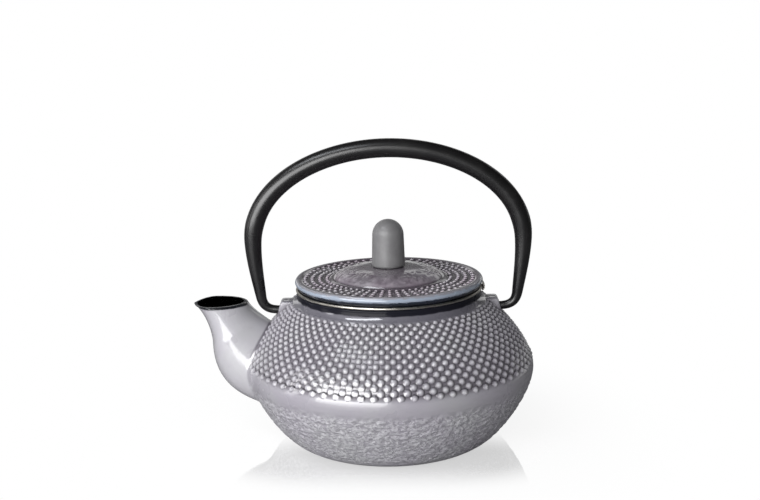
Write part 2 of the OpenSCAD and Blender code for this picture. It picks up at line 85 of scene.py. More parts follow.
def share(name, description, default):
    """A number from 0 to 1."""
    return FloatProperty(name=name, description=description, default=default, min=0, max=1)


def angle(name, description, default):
    """An angle, given in degrees."""
    return FloatProperty(name=name, description=description, default=math.radians(default),
                         subtype="ANGLE")


def count(name, description, default):
    """A whole number of copies."""
    return IntProperty(name=name, description=description, default=default, min=1)


def colour(name, description, default):
    """A colour in linear light."""
    return FloatVectorProperty(name=name, description=description, default=default, size=3,
                               min=0, max=1, subtype="COLOR")


class BodySizes(bpy.types.PropertyGroup):
    """Sizes of the pot's body."""
    belly_r: length("Belly radius", "Largest radius of the body", POT_BOX[1].y)
    belly_z: length("Belly height", "Height of the widest place", 30.5 * MM)
    rim_z: length("Rim height", "Height of the mouth's rim", POT_BOX[1].z)
    base_r: length("Base radius", "Radius of the flat underside", 38 * MM)
    foot_out: length("Foot bevel width", "Width of the bevel round the underside", 4.7 * MM)
    foot_up: length("Foot bevel height", "Height of the bevel round the underside", 1.6 * MM)
    neck_r: length("Neck radius", "Outer radius of the neck", RIM_BOX[1].x - 0.4 * MM)
    mouth_r: length("Mouth radius", "Inner radius of the mouth", 35 * MM)
    shoulder_r: length("Shoulder radius", "Radius where the neck meets the shoulder", 40.6 * MM)
    shoulder_z: length("Shoulder height", "Height where the neck meets the shoulder", 58.4 * MM)
    wall: length("Wall", "Thickness of the body", 3.2 * MM)
    floor: length("Floor", "Thickness of the floor", 3.8 * MM)
    hammer_depth: length("Hammer depth", "Depth of the rough cast relief", 0.22 * MM)
    hammer_size: length("Hammer size", "Spacing of the rough cast relief", 2.1 * MM)
    hammer_top: length("Hammer top", "Height at which the rough cast relief ends", 28.3 * MM)


class HobnailSizes(bpy.types.PropertyGroup):
    """Sizes and counts of the cast hobnails on the body and the lid."""
    per_row: count("Hobnails in a row", "Hobnails round the body in one row", 74)
    rows: count("Rows", "Rows of hobnails on the body", 16)
    first_z: length("Lowest row", "Height of the lowest row on the body", 34.3 * MM)
    last_z: length("Highest row", "Height of the highest row on the body", 57.5 * MM)
    height: length("Height", "Height of a hobnail above the ground between them", 0.9 * MM)
    phase: angle("Phase", "Turn of the lowest row about the pot's axis", -1.2)
    per_ring: count("Hobnails in a ring", "Hobnails in one ring on the lid", 60)
    rings: count("Rings", "Rings of hobnails on the lid", 4)
    ring_r: length("Outer ring radius", "Radius of the lid's outer ring of hobnails", 35.0 * MM)
    ring_step: length("Ring step", "Distance between the lid's rings", 3.07 * MM)
    lid_phase: angle("Phase on the lid", "Turn of the lid's hobnails about the axis", 0.5)
    lid_height: length("Height on the lid", "Height of a hobnail on the lid", 0.75 * MM)


class SpoutSizes(bpy.types.PropertyGroup):
    """Sizes of the spout."""
    reach: length("Reach", "Distance of the pouring lip from the pot's axis", -POT_BOX[0].x)
    mouth_z: length("Mouth height", "Height of the spout's mouth", POT_BOX[1].z - 4.7 * MM)
    mouth_len: length("Mouth length", "Length of the mouth", 22.5 * MM)
    mouth_w: length("Mouth width", "Width of the mouth", 22 * MM)
    root_w: length("Root width", "Width where the spout leaves the body", 30 * MM)
    wall: length("Wall", "Wall of the spout at its mouth", 2 * MM)
    root_wall: length("Root wall", "Wall of the spout where it leaves the body", 3 * MM)
    fillet: length("Fillet", "Size of the fillet along the sides of the root", 1.3 * MM)
    keel_fillet: length("Keel fillet", "Size of the fillet under the keel", 3.2 * MM)


class EarSizes(bpy.types.PropertyGroup):
    """Sizes of the two ears that carry the bail."""
    width: length("Width", "Width of an ear along the bail's swing", 8 * MM)
    foot_x: length("Reach", "Distance of an ear's foot from the pot's axis", 47.1 * MM)
    slope: length("Slope", "How far the ear's face leans in towards its top", 1.5 * MM)
    top_z: length("Top height", "Height of the ears' top", POT_BOX[1].z - 4.3 * MM)
    corner: length("Corner", "Radius of the ear's upper corner", 1.6 * MM)
    edge: length("Edge", "Rounding of the ear's edges", 1.0 * MM)
    hole_r: length("Hole radius", "Radius of the hole for the bail's pin", 1.78 * MM)
    hole_x: length("Hole end", "Distance of the hole's blind end from the pot's axis", 41.85 * MM)


class BailSizes(bpy.types.PropertyGroup):
    """Sizes of the bail."""
    half_w: length("Half width", "Half of the bail's width, to the middle of the tube", 56 * MM)
    crown_z: length("Crown height", "Height of the crown, to the middle of the tube", 121.3 * MM)
    grip_r: length("Grip radius", "Radius of the tube along the grip", BAIL_BOX[1].y)
    pin_r: length("Pin radius", "Radius of the pivot pins", 1.7 * MM)
    pin_x: length("Pin end", "Distance of a pin's end from the pot's axis", 42.35 * MM)
    start_x: length("Start", "Distance from the pot's axis at which the tube begins", 47.35 * MM)
    taper_h: length("Taper", "Height above the pivot at which the tube is full", 36 * MM)


class InfuserSizes(bpy.types.PropertyGroup):
    """Sizes of the steel infuser."""
    bead_r: length("Bead radius", "Radius of the rolled bead", 0.55 * MM)
    bead_ring_r: length("Bead ring", "Distance of the bead from the axis", RIM_BOX[1].x - 0.55 * MM)
    flange: length("Flange", "Thickness of the flange", 0.6 * MM)
    collar_r: length("Collar radius", "Outer radius of the collar", 34.5 * MM)
    sheet: length("Sheet", "Thickness of the sheet steel", 0.5 * MM)
    base_lip: length("Base lip", "Width of the lip under the base mesh", 3 * MM)
    wire: length("Wire", "Thickness of the mesh wires", 0.3 * MM)
    pitch: length("Pitch", "Spacing of the mesh wires", 0.95 * MM)
    tab_w: length("Tab width", "Width of the lifting tab", 8 * MM)


class LidSizes(bpy.types.PropertyGroup):
    """Sizes of the lid."""
    edge_r: length("Edge radius", "Radius of the lid's edge", LID_BOX[1].y)
    top_z: length("Flat height", "Height of the lid's flat", 67.9 * MM)
    dome_z: length("Dome height", "Height of the dome's top", LID_BOX[1].z)
    dome_r: length("Dome radius", "Radius of the dome's foot", 23 * MM)
    flat_r: length("Top radius", "Radius of the flat under the knob", 8 * MM)
    thickness: length("Thickness", "Thickness of the lid", 3 * MM)
    ring_r: length("Locating ring radius", "Outer radius of the locating ring", 33.0 * MM)
    ring_t: length("Locating ring", "Thickness of the locating ring", 2.4 * MM)
    ring_z: length("Locating ring end", "Height of the locating ring's lower edge", LID_BOX[0].z)
    hole_r: length("Screw hole", "Radius of the hole for the knob's screw", 2.3 * MM)
    vent_r: length("Vent radius", "Radius of the steam vent", 1.1 * MM)
    vent_x: length("Vent place", "Distance of the vent from the axis", 25.4 * MM)
    hammer: length("Hammer depth", "Depth of the relief on the dome's slope", 0.12 * MM)


class KnobSizes(bpy.types.PropertyGroup):
    """Sizes of the knob."""
    foot_r: length("Foot radius", "Radius of the knob's foot", KNOB_BOX[1].y)
    head_r: length("Head radius", "Radius of the knob's rounded head", 6.5 * MM)
    low_z: length("Foot height", "Height of the knob's foot", KNOB_BOX[0].z)
    high_z: length("Top height", "Height of the knob's top", KNOB_BOX[1].z)
    foot_round: length("Foot rounding", "Rounding of the foot's edge", 1.1 * MM)
    bore_r: length("Bore radius", "Radius of the screw's bore", 2.05 * MM)
    bore_h: length("Bore depth", "Depth of the screw's bore", 8.5 * MM)


class FinishColours(bpy.types.PropertyGroup):
    """Colours of the finishes."""
    # The glaze colours follow the relief. The low colour is partly painted shade in the hollows, and the
    # colour on the tips is partly a painted highlight.
    glaze_low_and_shade: colour("Glaze in the hollows", "Enamel where it has pooled", (0.120, 0.113, 0.127))
    glaze_mid: colour("Glaze", "Enamel on plain faces", (0.260, 0.255, 0.272))
    glaze_high_and_highlight: colour("Glaze on the tips", "Enamel on raised places", (0.360, 0.359, 0.371))
    glaze_dusk: colour("Glaze at the neck", "Enamel on the ledge under the neck", (0.105, 0.101, 0.120))
    neck_black: colour("Neck black", "Enamel on the neck", (0.009, 0.009, 0.013))
    # The lid's low colour is partly painted shade in its hollows, in the crease round the dome and round the
    # knob. Its colour on the tips is mostly a painted highlight.
    lid_low_and_shade: colour("Lid glaze in the hollows", "The lid's enamel where it has pooled", (0.063, 0.056, 0.066))
    lid_mid: colour("Lid glaze", "The lid's enamel on plain faces", (0.125, 0.113, 0.128))
    lid_high_and_highlight: colour("Lid glaze on the tips", "The lid's enamel on raised places", (0.560, 0.545, 0.565))
    lid_rim: colour("Lid rim", "The lid's enamel along the top of its edge", (0.205, 0.203, 0.228))
    # A painted highlight: the pale blue band round the lid's edge.
    lid_edge_highlight: colour("Lid run", "Pale blue enamel that has run over the edge", (0.230, 0.265, 0.325))
    lid_navy: colour("Lid navy", "Enamel on the lower part of the edge", (0.009, 0.013, 0.026))
    black_enamel: colour("Black enamel", "Enamel inside and round the rims", (0.005, 0.006, 0.009))
    black_cloud: colour("Black enamel clouds", "Paler clouds in the black enamel", (0.010, 0.012, 0.019))
    bail_black: colour("Bail black", "Coating of the bail", (0.0045, 0.0042, 0.0045))
    bail_rubbed: colour("Bail rubbed", "Coating of the bail where hands rub it", (0.008, 0.0075, 0.0075))
    knob_grey: colour("Knob grey", "Coating of the knob", (0.122, 0.120, 0.123))
    knob_cloud: colour("Knob clouds", "Paler clouds in the knob's coating", (0.142, 0.140, 0.143))
    steel: colour("Steel", "Stainless steel", (0.50, 0.475, 0.425))
    steel_grain: colour("Steel grain", "Stainless steel along its grain", (0.50, 0.48, 0.44))


class StageSizes(bpy.types.PropertyGroup):
    """The camera, and the floor with its reflection and its shadow."""
    camera_y: length("Camera distance", "Distance of the camera in front of the axis", 420 * MM)
    camera_z: length("Camera height", "Height of the camera above the floor", 163.23 * MM)
    pitch: angle("Camera pitch", "How far the camera looks down", 11.351)
    yaw: angle("Camera yaw", "How far the camera turns to the right", -0.466)
    roll: angle("Camera roll", "How far the camera leans", -1.234)
    lens: FloatProperty(name="Lens", description="Focal length for a sensor 36 mm wide", default=48.88)
    floor_size: length("Floor", "Width of the floor", 60.0)
    reflection: share("Reflection", "How strongly the floor mirrors the pot", 0.34)
    fade_from: length("Fade start", "Distance before the axis at which the reflection fades first", 38 * MM)
    fade_to: length("Fade end", "Distance before the axis at which the reflection ends", 66 * MM)
    shadow: share("Shadow", "How much of the floor's white comes from the lights", 0.12)
    shadow_from: length("Shadow start", "Distance from the axis at which the shadow starts to fade", 45 * MM)
    shadow_to: length("Shadow end", "Distance from the axis at which the shadow ends", 130 * MM)


SETTINGS = {
    "teapot_body": BodySizes, "teapot_hobnails": HobnailSizes, "teapot_spout": SpoutSizes,
    "teapot_ears": EarSizes, "teapot_bail": BailSizes, "teapot_infuser": InfuserSizes,
    "teapot_lid": LidSizes, "teapot_knob": KnobSizes, "teapot_colours": FinishColours,
    "teapot_stage": StageSizes,
}


# Curves and turned forms ------------------------------------------------------------------------

def bezier(points, t):
    """Points on a cubic curve. t is a number or an array, from 0 to 1."""
    p = np.asarray(points, float)
    t = np.asarray(t, float)[..., None]
    return ((1 - t) ** 3 * p[0] + 3 * (1 - t) ** 2 * t * p[1]
            + 3 * (1 - t) * t * t * p[2] + t ** 3 * p[3])


def arc(centre, radius, start, end, steps=6):
    """Points on a round corner, from one angle to another in degrees."""
    a = np.radians(np.linspace(start, end, steps + 1))
    return np.stack([centre[0] + radius * np.cos(a), centre[1] + radius * np.sin(a)], axis=1)


def smooth(low, high, x):
    """0 up to low, 1 from high on and a smooth step between them. High may be the smaller of the two."""
    t = np.clip((np.asarray(x, float) - low) / (high - low), 0, 1)
    return t * t * (3 - 2 * t)


def mix(a, b, t):
    """The value at share t of the way from a to b."""
    return a + (b - a) * t


def beside(point, across, up):
    """The place that lies some millimetres across and up from a point of an outline."""
    return point[0] + across * MM, point[1] + up * MM


def spaced(line, step):
    """The same outline with its points about a step apart."""
    line = np.asarray(line, float)
    run = np.concatenate([[0], np.cumsum(np.linalg.norm(np.diff(line, axis=0), axis=1))])
    wanted = np.linspace(0, run[-1], max(2, int(round(run[-1] / step)) + 1))
    return np.stack([np.interp(wanted, run, line[:, k]) for k in range(line.shape[1])], axis=1)


def chain(*lines):
    """Outlines end to end, with no point twice."""
    same = 1e-7
    points = np.concatenate([np.asarray(line, float) for line in lines])
    keep = np.concatenate([[True], np.linalg.norm(np.diff(points, axis=0), axis=1) > same])
    return points[keep]


def ring(radius, z, sides, turn=0.0):
    """A level ring of points that starts at the front, or turned from it, and runs towards +X."""
    a = turn + TURN * np.arange(sides) / sides
    return np.stack([radius * np.sin(a), -radius * np.cos(a), np.full(sides, z)], axis=1)


def side_ring(radius, z, sides, turn=0.0, centre_x=0.0):
    """A level ring of points that starts at the +X side and runs towards the back."""
    a = turn + TURN * np.arange(sides) / sides
    return np.stack([centre_x + radius * np.cos(a), radius * np.sin(a), np.full(sides, z)], axis=1)


def stacked(name, rings, materials=(), closed=False):
    """A mesh object through rings of as many points each. It is capped, or closed from last ring to first."""
    sides, n = len(rings[0]), len(rings)
    faces = []
    for low in range(n if closed else n - 1):
        start, above = low * sides, (low + 1) % n * sides
        for j in range(sides):
            k = (j + 1) % sides
            faces.append([start + j, start + k, above + k, above + j])
    if not closed:
        faces.append(list(range(sides))[::-1])
        faces.append(list(range((n - 1) * sides, n * sides)))
    return mesh_object(name, np.concatenate(rings), faces, materials)


def turned(name, outline, sides, materials=(), closed=False):
    """A turned form. The outline's points are radius and height, and run up the outside first."""
    return stacked(name, [ring(r, z, sides) for r, z in outline], materials=materials, closed=closed)


def mesh_object(name, points, faces, materials=()):
    """A new smooth mesh object in the scene."""
    mesh = bpy.data.meshes.new(name)
    mesh.from_pydata([tuple(p) for p in points], [], faces)
    mesh.shade_smooth()
    for material in materials:
        mesh.materials.append(material)
    made = bpy.data.objects.new(name, mesh)
    bpy.context.scene.collection.objects.link(made)
    return made


def settle(made, *spent):
    """Turns an object's modifiers into plain mesh, and removes the objects that they used."""
    graph = bpy.context.evaluated_depsgraph_get()
    mesh = bpy.data.meshes.new_from_object(made.evaluated_get(graph), preserve_all_data_layers=True,
                                           depsgraph=graph)
    old = made.data
    made.modifiers.clear()
    made.data = mesh
    mesh.name = made.name
    bpy.data.meshes.remove(old)
    for other in spent:
        bpy.data.objects.remove(other)
    return made


def carve(made, tool, operation):
    """Joins another closed form to made, or cuts it away."""
    step = made.modifiers.new(operation.title(), "BOOLEAN")
    step.object = tool
    step.operation = operation
    step.solver = "MANIFOLD"
    step.material_mode = "TRANSFER"


def sharpen(made, degrees=38):
    """Smooth shading, with an edge kept where two faces meet at more than this angle."""
    made.data.shade_smooth()
    made.data.set_sharp_from_angle(angle=math.radians(degrees))


def coordinates(mesh):
    """The places of a mesh's points, as an array."""
    co = np.empty(len(mesh.vertices) * 3, np.float32)
    mesh.vertices.foreach_get("co", co)
    return co.reshape(-1, 3).astype(float)


def set_share(mesh, name, values):
    """Gives each point a number from 0 to 1 under a name that the materials read."""
    attribute = mesh.attributes.new(name, "FLOAT", "POINT")
    attribute.data.foreach_set("value", np.clip(values, 0, 1).astype(np.float32))


def hammered(points, size):
    """Rough cast relief from -1 to 1, with its marks longer along the wall than up it."""
    finer = 2.3
    coarse_share, fine_share = 1.9, 0.8
    coarse = np.array([noise.noise(Vector((x, y, z * FLOW)) / size) for x, y, z in points])
    fine = np.array([noise.noise(Vector((y, z * FLOW, x)) * (finer / size)) for x, y, z in points])
    return np.clip(coarse_share * coarse + fine_share * fine, -1, 1)


# Materials --------------------------------------------------------------------------------------

def plug(tree, node, socket, value):
    """Links a node's output to a socket, or writes a plain value into the socket."""
    if isinstance(value, bpy.types.NodeSocket):
        tree.links.new(value, node.inputs[socket])
    else:
        node.inputs[socket].default_value = value


def add_node(tree, kind, inputs=(), output=0, **settings):
    """Adds a node with its settings and inputs, and gives one of its outputs."""
    node = tree.nodes.new(kind)
    for name, value in settings.items():
        setattr(node, name, value)
    for socket, value in dict(inputs).items():
        plug(tree, node, socket, value)
    return node.outputs[output]


class Shading:
    """A tree of shader nodes while it is built. Each value is a number or the output of a node."""

    def __init__(self, tree):
        self.tree = tree

    def add(self, kind, inputs=(), output=0, **settings):
        """Adds a shader node, and gives one of its outputs."""
        return add_node(self.tree, "ShaderNode" + kind, inputs, output, **settings)

    def math(self, operation, *values):
        """One step of arithmetic."""
        return self.add("Math", enumerate(values), operation=operation)

    def product(self, *values):
        """Values multiplied with each other."""
        result = values[0]
        for value in values[1:]:
            result = self.math("MULTIPLY", result, value)
        return result

    def range(self, value, low, high, at_low=0.0, at_high=1.0):
        """A smooth step: at_low until the value reaches low, and at_high from high on."""
        return self.add("MapRange", {"Value": value, "From Min": low, "From Max": high,
                                     "To Min": at_low, "To Max": at_high},
                        interpolation_type="SMOOTHSTEP")


class Finish(Shading):
    """A material while it is built."""

    def __init__(self, name, **surface):
        self.data = bpy.data.materials.new(name)
        self.data.use_nodes = True
        super().__init__(self.data.node_tree)
        self.shader = self.tree.nodes["Principled BSDF"]
        self.place = self.add("TexCoord", output="Object")
        self.surface(**surface)

    def surface(self, **values):
        """Sets the shader's own sockets. An underscore stands for a space in a socket's name."""
        for socket, value in values.items():
            plug(self.tree, self.shader, socket.replace("_", " "), value)

    def blend(self, factor, a, b, mode="MIX"):
        """A mix of two colours, each a node's output or three numbers."""
        a, b = (c if isinstance(c, bpy.types.NodeSocket) else (*c, 1) for c in (a, b))
        return self.add("Mix", {0: factor, 6: a, 7: b}, output=2, data_type="RGBA", blend_type=mode)

    def attribute(self, name):
        """A number that the mesh carries at each point."""
        return self.add("Attribute", output="Fac", attribute_name=name)

    def noise(self, size, detail=2.0, roughness=0.5, stretch=None):
        """Noise with marks of about a size, squeezed along each axis by its number in stretch."""
        place = self.place
        if stretch:
            place = self.add("Mapping", {"Vector": place, "Scale": stretch})
        return self.add("TexNoise", {"Vector": place, "Scale": 1 / size, "Detail": detail,
                                     "Roughness": roughness})

    def clouds(self, size, low=0.0, high=1.0, detail=2.0, roughness=0.5, spread=(0.3, 0.7)):
        """A value that goes from low to high and back, in clouds of about a size."""
        return self.range(self.noise(size, detail, roughness), *spread, low, high)

    def along(self, axis):
        """The coordinate of a place along X, Y or Z."""
        return self.add("SeparateXYZ", {0: self.place}, output=axis)

    def run_height(self, size, amount, detail=2.0):
        """Height above the floor, disturbed so that a line across it wanders as enamel runs."""
        centred = self.math("SUBTRACT", self.noise(size, detail), 0.5)
        return self.math("ADD", self.along("Z"), self.product(centred, amount))

    def step(self, value, level, start, end, at_low=0.0, at_high=1.0):
        """A smooth step near a level. It starts and ends some millimetres past that level."""
        return self.range(value, level + start * MM, level + end * MM, at_low, at_high)

    def reach(self):
        """Distance from the pot's axis."""
        flat = self.add("Mapping", {"Vector": self.place, "Scale": (1, 1, 0)})
        return self.add("VectorMath", {0: flat}, output="Value", operation="LENGTH")

    def flattened(self, strength):
        """The face's direction, pulled towards the axis that each hobnail carries."""
        axis = self.add("Attribute", output="Vector", attribute_name="axis")
        world_axis = self.add("VectorTransform", {"Vector": axis}, vector_type="VECTOR",
                              convert_from="OBJECT", convert_to="WORLD")
        pull = self.add("VectorMath", {0: world_axis, "Scale": strength}, operation="SCALE")
        facing = self.add("NewGeometry", output="Normal")
        both = self.add("VectorMath", {0: facing, 1: pull}, operation="ADD")
        return self.add("VectorMath", {0: both}, operation="NORMALIZE")

    def bump(self, value, distance, **under):
        """Relief in the shading. Under it may lie another relief, given as Normal."""
        return self.add("Bump", {"Height": value, "Distance": distance, "Strength": 1.0, **under})


def glaze_colour(finish, relief, low, mid, high, tip=(0.60, 0.95)):
    """Enamel that has thinned on the tips and pooled in the hollows, with slow cloudy changes. Its paler tips
    are partly a painted highlight, and its darker hollows partly painted shade.
    """
    hollow_end = 0.05
    cloud_tint = (0.95, 0.92, 0.97)
    speck_share = 0.25
    # Low relief takes the low colour, partly painted shade in the hollows; the tips take the high colour,
    # partly a painted highlight.
    shade = finish.blend(finish.range(relief, hollow_end, tip[0]), low, mid)
    full = finish.blend(finish.range(relief, *tip), shade, high)
    cloud = finish.clouds(24 * MM, detail=3.0, roughness=0.6)
    clouded = finish.blend(cloud, full, cloud_tint, mode="MULTIPLY")
    speck = finish.clouds(0.9 * MM, 0.0, speck_share, roughness=0.6, spread=(0.64, 0.80))
    return finish.blend(speck, clouded, low)


def pits(finish, size):
    """Small pits, longer along the wall than up it: 1 in a pit and 0 between."""
    pit_level, wall_level = 0.40, 0.56
    flow = finish.noise(size, roughness=0.55, stretch=(1, 1, FLOW))
    return finish.range(flow, pit_level, wall_level, 1.0, 0.0)


def enamel(colours, body, spout):
    """Grey-lilac enamel over the cast relief, black at the neck. Its gloss and tone follow the relief; the
    tone holds painted shade in the hollows and pits and painted light on the tips and the ears.
    """
    finish = Finish("pot_enamel", Coat_Roughness=0.07)
    belly, shoulder, mouth = body.belly_z, body.shoulder_z, spout.mouth_z
    cast, rough = finish.attribute("relief"), finish.attribute("rough")

    pit_size, pit_depth, peel_depth = 1.35 * MM, 0.15 * MM, 0.03 * MM
    pit_shade, rough_lift = -0.44, 0.36
    # The pits are darker in colour as well as sunk in the bump: the darker colour is painted shade in them.
    pit = finish.product(pits(finish, pit_size), rough)
    lifted = finish.math("MULTIPLY_ADD", rough, rough_lift, cast)
    relief = finish.math("MULTIPLY_ADD", pit, pit_shade, lifted)
    peel = finish.bump(finish.noise(1.4 * MM), peel_depth)
    finish.surface(Normal=finish.bump(pit, -pit_depth, Normal=peel))

    z = finish.run_height(5 * MM, 0.7 * MM)
    dusk = finish.step(z, shoulder, -0.9, 0.3)
    neck = finish.step(z, shoulder, 1.7, 2.2)
    mouth_rim = finish.step(z, mouth, -1.2, -0.7)
    on_spout = finish.step(finish.along("X"), -body.belly_r, 1, 3, 1.0, 0.0)
    base = glaze_colour(finish, relief, colours.glaze_low_and_shade, colours.glaze_mid, colours.glaze_high_and_highlight)
    base = finish.blend(dusk, base, colours.glaze_dusk)
    base = finish.blend(neck, base, colours.neck_black)
    base = finish.blend(finish.product(mouth_rim, on_spout), base, colours.black_enamel)
    finish.surface(Base_Color=base)

    # A clear coat lies on the tips, and thick and level over the low rows of hobnails and the ledge.
    height = finish.along("Z")
    above_belly = finish.step(height, belly, 1.5, 3.5, 0.25, 1.0)
    low_rows = finish.step(height, belly, 8, 15, 1.0, 0.0)
    ledge = finish.step(height, shoulder, -0.6, 0.4, 0.4, 1.0)
    wet = finish.product(above_belly, finish.math("MAXIMUM", low_rows, ledge))
    on_tips = finish.range(cast, 0.75, 0.95)
    off_spout = finish.range(cast, 0.93, 0.96, 1.0, 0.0)
    coat = finish.math("MAXIMUM", on_tips, wet)
    thick = finish.product(wet, off_spout)
    thin_ior, thick_ior, level_strength = 1.5, 1.85, 2.5
    finish.surface(
        Coat_Weight=finish.product(coat, finish.math("SUBTRACT", 1.0, neck)),
        Coat_IOR=finish.math("MULTIPLY_ADD", thick, thick_ior - thin_ior, thin_ior),
        Coat_Normal=finish.flattened(finish.product(low_rows, level_strength)))

    plain_specular, neck_specular, neck_gloss = 0.5, 0.08, 0.18
    dull = finish.clouds(9 * MM, 0.26, 0.38)
    finish.surface(
        Specular_IOR_Level=finish.math("MULTIPLY_ADD", neck, neck_specular - plain_specular, plain_specular),
        Roughness=finish.math("MULTIPLY_ADD", neck, -neck_gloss, dull))
    return finish.data


def black_enamel(colours):
    """Glossy black enamel of the inside and the rims."""
    finish = Finish("black_enamel", Coat_Weight=0.25, Coat_Roughness=0.06)
    cloud = finish.clouds(8 * MM, spread=(0.35, 0.7))
    finish.surface(Base_Color=finish.blend(cloud, colours.black_enamel, colours.black_cloud),
                   Roughness=finish.clouds(5 * MM, 0.12, 0.22),
                   Normal=finish.bump(finish.noise(1.5 * MM), 0.03 * MM))
    return finish.data


def bail_coating(colours):
    """Satin black powder coating with its fine orange peel."""
    finish = Finish("bail_coating", Specular_IOR_Level=0.62)
    rub = finish.clouds(14 * MM, detail=4.0, roughness=0.6, spread=(0.45, 0.75))
    finish.surface(Base_Color=finish.blend(rub, colours.bail_black, colours.bail_rubbed),
                   Roughness=finish.clouds(7 * MM, 0.27, 0.31),
                   Normal=finish.bump(finish.noise(1.1 * MM, 1.0), 0.006 * MM))
    return finish.data


def knob_coating(colours):
    """Satin grey coating of the knob."""
    finish = Finish("knob_coating")
    cloud = finish.clouds(5 * MM, detail=3.0, roughness=0.6, spread=(0.35, 0.7))
    finish.surface(Base_Color=finish.blend(cloud, colours.knob_grey, colours.knob_cloud),
                   Roughness=finish.clouds(3 * MM, 0.34, 0.44),
                   Normal=finish.bump(finish.noise(0.5 * MM), 0.015 * MM))
    return finish.data


def steel(colours, name="steel", roughness=0.30, grain=(1, 1, 30)):
    """Stainless steel with a fine grain."""
    finish = Finish(name, Metallic=1.0)
    lines = finish.noise(3 * MM, 3.0, 0.6, stretch=grain)
    finish.surface(Base_Color=finish.blend(finish.range(lines, 0.3, 0.7), colours.steel, colours.steel_grain),
                   Roughness=finish.range(lines, 0.3, 0.7, roughness - 0.05, roughness + 0.07),
                   Normal=finish.bump(lines, 0.01 * MM))
    return finish.data


def material(title, make, *args, **settings):
    """The material of that name, made the first time that it is wanted."""
    return bpy.data.materials.get(title) or make(*args, **settings)


# The pot ----------------------------------------------------------------------------------------

class BodyForm:
    """The outside of the body: its outline, its radius at a height and the ground under the hobnails."""

    rim_round = 0.8 * MM
    curve_points = 161

    def __init__(self, body, hobnails):
        start = (body.base_r, 0)
        bevel = (body.base_r + body.foot_out, body.foot_up)
        belly = (body.belly_r, body.belly_z)
        shoulder = (body.shoulder_r, body.shoulder_z)
        neck_foot = (body.neck_r, body.shoulder_z + 2.4 * MM)
        curves = (
            [start, beside(start, 2.2, 0), beside(bevel, -1.3, -0.8), bevel],
            [bevel, beside(bevel, 6.5, 4), beside(belly, 0, -8.3), belly],
            [belly, beside(belly, 0, 8.7), beside(shoulder, 7.6, -6.4), shoulder],
            [shoulder, beside(shoulder, -0.7, 0.1), beside(neck_foot, 0.6, -1.2), neck_foot])
        t = np.linspace(0, 1, self.curve_points)
        self.foot, self.lower, self.upper, self.neck = (bezier(curve, t) for curve in curves)
        self.body, self.hobnails = body, hobnails
        self.table = chain(self.foot, self.lower, self.upper, self.neck, [(body.neck_r, body.rim_z)])

    def radius(self, z):
        """Radius of the outline at a height."""
        return np.interp(z, self.table[:, 1], self.table[:, 0])

    def sink(self, z):
        """How far the ground between the hobnails lies inside the outline."""
        low, high = self.hobnails.first_z, self.hobnails.last_z
        past_ledge = smooth(low - 1.3 * MM, low + 0.9 * MM, z)
        below_shoulder = 1 - smooth(high + 0.1 * MM, high + 1.3 * MM, z)
        return self.hobnails.height * past_ledge * below_shoulder

    def ground(self, z):
        """Radius of the ground between the hobnails at a height."""
        return self.radius(z) - self.sink(z)

    def normal(self, points):
        """The outside's direction at points on the body."""
        step = 0.2 * MM
        slope = (self.radius(points[:, 2] + step) - self.radius(points[:, 2] - step)) / (2 * step)
        out = points[:, :2] / np.linalg.norm(points[:, :2], axis=1)[:, None]
        n = np.concatenate([out, -slope[:, None]], axis=1)
        return n / np.linalg.norm(n, axis=1)[:, None]


